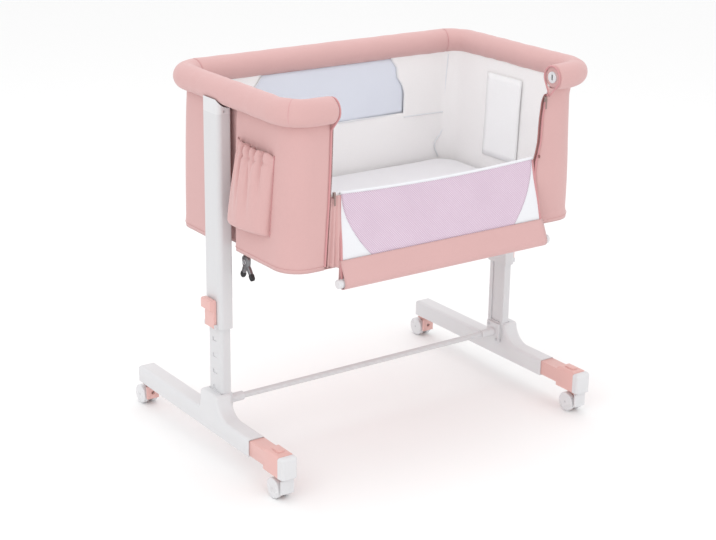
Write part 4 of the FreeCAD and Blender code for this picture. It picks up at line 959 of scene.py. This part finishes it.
def bend_at_fold(obj):
    """Turns the hanging cloth into one plain mesh and bakes its place into its points. It rides on no body.
    """
    settle(obj)
    start = drop_point(0.0, 0.004)
    end = drop_point(0.0, 0.026)
    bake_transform(obj)


def drop_sheet(name, low_edge, high_edge, look, columns, lift=0.0):
    """Hanging cloth between two edges. It is closest together near the fold, where it bends."""
    def across_at(run, share):
        return low_edge(run) + (high_edge(run) - low_edge(run)) * share

    low_end = BAND_TOP + 0.004
    rows = []
    for down in np.linspace(0, 1, 34) ** 1.25:
        row_points = []
        for share in np.arange(columns) / (columns - 1):
            top = TOP_GAP + fold_sag(across_at(down * low_end, share)) - 0.0012
            run = top + (low_end - top) * down
            x = across_at(run, share)
            row_points.append(drop_point(x, run, lift - belly(x, run)))
        rows.append(row_points)
    obj = cloth_grid(name, rows, look, None, 0.0012)
    bend_at_fold(obj)
    return obj


drop_net = drop_sheet("drop_net", lambda r: -net_edge(r), net_edge, "drop_mesh", 90)
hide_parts("drop_panel")
for side_name, sign in SIDES:
    low = (lambda r: -side_half(r)) if sign < 0 else (lambda r: net_edge(r) - 0.003)
    high = (lambda r: -net_edge(r) + 0.003) if sign < 0 else side_half
    panel = drop_sheet(side_name + "_drop_side_panel", low, high, WHITE_TAPE, 16, lift=-0.0010)
    runs = np.linspace(TOP_GAP, DROP - 0.004, 40)
    edge = [drop_point(sign * (side_half(r) - 0.001), r, -belly(sign * side_half(r), r) - 0.0012)
            for r in runs]
    piping = tube(side_name + "_drop_piping", edge, 0.0031, PIPING, None, 8)
    bend_at_fold(piping)


def drop_band():
    """Cloth sleeve round the bar, sewn shut along its top edge."""
    round_r, top_half = 0.0138, 0.0018
    lean = math.asin((round_r - top_half) / (DROP - BAND_TOP))
    join = (DROP - round_r * math.sin(lean), round_r * math.cos(lean))
    taper = [(BAND_TOP + share * (join[0] - BAND_TOP), top_half + share * (join[1] - top_half))
             for share in np.linspace(0, 1, 9)[:-1]]
    bend = [(DROP + round_r * math.sin(a), round_r * math.cos(a))
            for a in np.linspace(-lean, math.pi + lean, 19)]
    profile = taper + bend + [(run, -lift) for run, lift in taper[::-1]]
    rows = []
    for x in np.linspace(-BAR_HALF, BAR_HALF, 60):
        pull = 1.0 - 0.05 * math.sin(x * 31.0) * math.cos(x * 13.0)
        rows.append([drop_point(x, run, lift * pull) for run, lift in profile])
    cloth_grid("drop_band", rows, "pink_fabric", "drop_side", 0.0014)


drop_band()
hem = [drop_point(x, BAND_TOP + 0.005, -0.0042) for x in np.linspace(-0.296, 0.296, 120)]
row("band_stitches", [hem], 0.0042, (0.0026, 0.0006, 0.0006), THREAD, "drop_side")
top_edge = [drop_point(x, BAND_TOP + 0.0006, -0.0030) for x in np.linspace(-0.2985, 0.2985, 80)]
tube("band_top_edge", top_edge, 0.0013, PIPING, "drop_side", 6)


# ---- pockets
def wrap_x(y, z):
    """How far out the wrap's right end is at a given place."""
    flat = half_outline(z, WRAP_INSET, 0.3)
    front = flat[flat[:, 1] < COLUMN_Y - 0.040]
    order = np.argsort(front[:, 1])
    return float(np.interp(y, front[order, 1], front[order, 0]))


# Long creases of a pocket: where each starts at the top, where it ends, and how deep it is.
CREASES = ((0.16, 0.10, 0.7), (0.34, 0.42, 1.0), (0.55, 0.66, 0.8), (0.80, 0.86, 0.7))


def pocket(side_name, sign):
    """Gathered pouch: an elastic top with puckers, folds that fan down, and a full lower part."""
    rows = []
    for v in np.arange(42) / 41:
        row_points = []
        for u in np.arange(73) / 72:
            rear_y = COLUMN_Y - 0.061 - 0.012 * v ** 2
            front_y = COLUMN_Y - 0.209 - 0.014 * v
            y = rear_y + (front_y - rear_y) * u
            z = 0.597 + 0.203 * v + 0.006 * (1 - v) * u - 0.006 * u * v
            arch = math.sin(math.pi * u) ** (0.30 + 0.25 * v)
            lean = 1.0 + 0.35 * (0.5 - u) * (1 - v)
            full = 0.040 * (1 - v) ** 0.5 * (1 - math.exp(-v / 0.022)) * lean + 0.015 * v
            ridge = abs(math.cos(math.pi * 6.5 * u + 0.4)) ** 0.6 * 2.0 - 1.3
            gather = 0.0115 * ridge * math.exp(-(1 - v) / 0.13)
            fan = 0.0030 * math.sin(2 * math.pi * (2.6 * u + 0.5 * v)) * math.sin(math.pi * v) ** 1.2
            crease = sum(strength * bell(u, low_u + (top_u - low_u) * v, 0.024 + 0.03 * (1 - v))
                         for top_u, low_u, strength in CREASES)
            crease *= 0.0110 * min(max((v - 0.22) / 0.5, 0.0), 1.0) ** 0.8
            casing = 0.0050 * bell(v, 0.885, 0.022)
            outward = (full + fan - crease) * arch + (gather - casing) * arch ** 0.5 + 0.0012
            row_points.append((sign * (wrap_x(y, z) + max(outward, 0.0010)), y, z + gather * 0.6))
        rows.append(row_points)
    obj = cloth_grid(side_name + "_pocket_cloth", rows, "pink_fabric", "basket", 0.0018)
    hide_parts(side_name + "_pocket")
    seam = [(x + sign * 0.001, y, z) for x, y, z in (row_points[-1] for row_points in rows)]
    tube(side_name + "_pocket_seam", seam, 0.0012, PIPING, "basket", 6)


for side_name, sign in SIDES:
    pocket(side_name, sign)

# ---- zips, hems and stitches
zs = np.linspace(0.856, 0.538, 70)
for side_name, sign in SIDES:
    places = [gate_edge(z, sign) for z in zs]
    edge = [(sign * (x - 0.0010), y + 0.0002, z) for (x, y), z in zip(places, zs)]
    tube(side_name + "_front_piping", edge, 0.0027, PIPING, "basket", 8)
    behind = 0.0060 if sign < 0 else 0.0026
    tape = []
    for (x, y), z in zip(places, zs):
        tape.append([(sign * (x - 0.0030), y + behind, z), (sign * (x - 0.0095), y + behind + 0.0008, z)])
    cloth_grid(side_name + "_zip_tape", tape, TAPE, "basket", 0.0009)
    teeth = [(sign * (x - 0.0060), y + 0.0016, z) for (x, y), z in zip(places, zs)]
    row(side_name + "_zip_teeth", [teeth], 0.0022, (0.0012, 0.0030, 0.0014), TEETH, "basket")


PLEATS = 3


def gusset():
    """Pleated cloth that joins the left wall to the drop side."""
    rows = []
    for share in np.arange(26) / 25:
        z = 0.697 - 0.163 * share
        outer_x, _ = gate_edge(z, -1)
        inner_x = 0.2855 + 0.010 * share
        lean = 0.0234 * share
        row_points = []
        for u in np.arange(41) / 40:
            x = outer_x - 0.004 + (inner_x - outer_x + 0.004) * u
            fade = (0.35 + 0.65 * share) * math.sin(math.pi * u) ** 0.4
            pleat = 0.0034 * math.cos(2 * math.pi * PLEATS * u) * fade
            y = FOLD_Y - 0.0085 - lean * u ** 1.4 + pleat + 0.0045 * u
            row_points.append((-x, y, z))
        rows.append(row_points)
    obj = cloth_grid("left_gusset", rows, "pink_fabric", "basket", 0.0012)


gusset()
stop = [(0.2945, FOLD_Y - 0.0105, 0.7075), (0.2955, FOLD_Y - 0.0112, 0.7035),
        (0.2950, FOLD_Y - 0.0112, 0.7000)]
# Dark pink tube in the piping colour all round under the rail: a painted shadow line where the rail meets the
# wall.
RAIL_SHADE_LINE_Z = 0.8680
bar_along("right_zip_stop", stop, (0.0042, 0.0048, 0.0040), (0.0030, 0.0034, 0.0028), TEETH, "basket",
          plane=(0, 1, 0))
for side_name, sign in SIDES:
    line = [(sign * x, y, RAIL_SHADE_LINE_Z) for x, y in half_outline(RAIL_SHADE_LINE_Z, 0.0006, 0.0, sign)]
    tube(side_name + "_rail_shade_line", line, 0.0016, PIPING, "basket", 6)
stitch_z = HEM_Z + 0.010
right = half_outline(stitch_z, -0.0012, 0.0)
hem_rows = [[(sign * x, y, stitch_z) for x, y in right] for sign in (1, -1)]
row("hem_stitches", hem_rows, 0.0045, (0.0028, 0.0006, 0.0006), THREAD, "basket")

# ---- clamp that holds the crib to the bed
def bed_clamp():
    """Webbing loop, pressed steel plate and two sprung jaws with rubber ends."""
    x, y = -0.397, COLUMN_Y - 0.061
    webbing = [(x, y, z) for z in np.linspace(0.5285, 0.5060, 8)]
    loop = bar_along("clamp_webbing", webbing, [0.016] * 8, [0.0018] * 8, WEBBING, "strap", power=8.0)
    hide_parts("bed_strap_clip")
    swell = np.array([0.55, 0.86, 1.0, 1.0, 0.98, 0.94, 0.90, 0.80, 0.50])
    plate = [(x, y, z) for z in np.linspace(0.512, 0.482, len(swell))]
    bar_along("clamp_plate", plate, 0.026 * swell, 0.0120 * swell ** 0.5, ZINC, "strap", power=5.0)
    ring = [(x - 0.0062, y + 0.0052 * math.cos(a), 0.497 + 0.0052 * math.sin(a)) for a in turns(24)]
    tube("clamp_rivet", ring, 0.0014, MATERIALS["steel"], "strap", 8, closed=True, plane=(1, 0, 0))
    full = np.array([0.6, 0.9, 1.0, 1.0, 1.0, 0.98, 0.95, 0.92, 0.88, 0.82, 0.6])
    share = np.linspace(0, 1, len(full))[:, None]
    for label, hand, spread in (("front", -1, 0.026), ("rear", 1, 0.0150)):
        top = np.array([x - 0.001 * hand, y - hand * 0.002, 0.492])
        tip = np.array([x - 0.001 * hand, y + hand * spread, 0.4575])
        bend = (top + tip) / 2 + np.array([0.0, hand * spread * 0.15, 0.002])
        line = (1 - share) ** 2 * top + 2 * share * (1 - share) * bend + share ** 2 * tip
        bar_along("clamp_jaw_" + label, line, 0.0115 * full, 0.0096 * full, ZINC, "strap")
        rubber = line[6:] + (line[-1] - line[-2]) * 0.25
        bar_along("clamp_rubber_" + label, rubber, (0.0090, 0.0128, 0.0130, 0.0124, 0.0086),
                  (0.0078, 0.0112, 0.0114, 0.0108, 0.0076), BLACK_RUBBER, "strap")


bed_clamp()

# ---- moulded and cast parts with rounded edges
BODY_OF = {name: body for body, names in frame["record"]["behaviour"]["bodies"].items() for name in names}
ROUNDED = {"foot_slide": 0.0060, "foot_shell": 0.0040, "height_lever": 0.0030, "front_brake_pedal": 0.0014,
           "front_caster_hood": 0.0022, "rear_caster_hood": 0.0022, "slide_button": 0.0020}
for side_name in ("left", "right"):
    for part_name, width in ROUNDED.items():
        node_name = side_name + "_" + part_name
        ease(node_name, BODY_OF[node_name], width)
for side_name, sign in SIDES:
    rack = [(sign * 0.4483, COLUMN_Y, z) for z in np.linspace(0.125, 0.495, 40)]
    name = side_name + "_rack_strip"
    bar_along(name, rack, [0.022] * 40, [0.0012] * 40, "white_plastic", "stand", power=8.0)

# ---- bare label patch on the right inner wall
label_rows = []
for z in np.linspace(0.625, 0.842, 14):
    ys = np.linspace(COLUMN_Y - 0.095, COLUMN_Y + 0.040, 12)
    low = (RAIL_Z - z) / (RAIL_Z - HEM_Z)
    x = WAIST_HALF - 0.014 * low - LINER_INSET - 0.0054
    label_rows.append([(x - 0.0006 * math.sin(z * 40.0 + y * 30.0), y, z) for y in ys])
label = cloth_grid("label_patch", label_rows, LABEL, "basket", 0.0008)

# ---- floor, light and camera
floor_mesh = bpy.data.meshes.new("studio_floor")
floor_mesh.from_pydata([(x, y, -0.0005) for x, y in ((-12, -12), (12, -12), (12, 12), (-12, 12))], [],
                       [(0, 1, 2, 3)])
floor = new_object("studio_floor", floor_mesh)
floor_look = Graph("studio_white", roughness=0.9, specular=0.1)
floor_tone = floor_look.noise(floor_look.place(), 0.4, 1.0)
floor_look.into("Base Color", floor_look.mix(floor_tone, (0.95, 0.95, 0.95, 1), (0.96, 0.96, 0.96, 1)))
floor_mesh.materials.append(floor_look.material)

world = bpy.data.worlds.new("studio_world")
world.use_nodes = True
world.node_tree.nodes["Background"].inputs[0].default_value = (1.0, 1.0, 1.0, 1.0)
world.node_tree.nodes["Background"].inputs[1].default_value = 1.0
bpy.context.scene.world = world


def soft_light(name, place, aim, size, power):
    """A square or oblong lamp that points at a place."""
    lamp = bpy.data.lights.new(name, "AREA")
    lamp.shape = "RECTANGLE"
    lamp.size = size[0]
    lamp.size_y = size[1]
    lamp.energy = power
    obj = new_object(name, lamp)
    obj.location = place
    obj.rotation_euler = (Vector(aim) - Vector(place)).to_track_quat("-Z", "Y").to_euler()


soft_light("key_light", (-2.8, -1.5, 2.6), (0, 0, 0.5), (2.0, 2.0), 18.0)
soft_light("fill_light", (0.6, -3.6, 1.9), (0, 0, 0.6), (2.4, 1.6), 10.0)
soft_light("top_light", (0.3, 0.6, 3.4), (0, 0, 0.5), (2.6, 2.6), 17.0)

YAW, PITCH, ROLL = math.radians(35.32), math.radians(19.12), math.radians(0.88)
ahead = Vector((math.sin(YAW) * math.cos(PITCH), math.cos(YAW) * math.cos(PITCH), -math.sin(PITCH)))
level = Vector((math.cos(YAW), -math.sin(YAW), 0.0))
over = level.cross(ahead)
right_axis = level * math.cos(ROLL) + over * math.sin(ROLL)
up_axis = -level * math.sin(ROLL) + over * math.cos(ROLL)
camera_data = bpy.data.cameras.new("photo_camera")
camera_data.lens = 80.65
camera_data.sensor_width = 36.0
camera_data.clip_start = 0.05
camera_data.clip_end = 60.0
camera = new_object("photo_camera", camera_data)
turn = Matrix((right_axis, up_axis, -ahead)).transposed().to_4x4()
camera.matrix_world = Matrix.Translation((-2.236, -3.134, 1.711)) @ turn
bpy.context.scene.camera = camera
bpy.context.scene.view_settings.view_transform = "Standard"
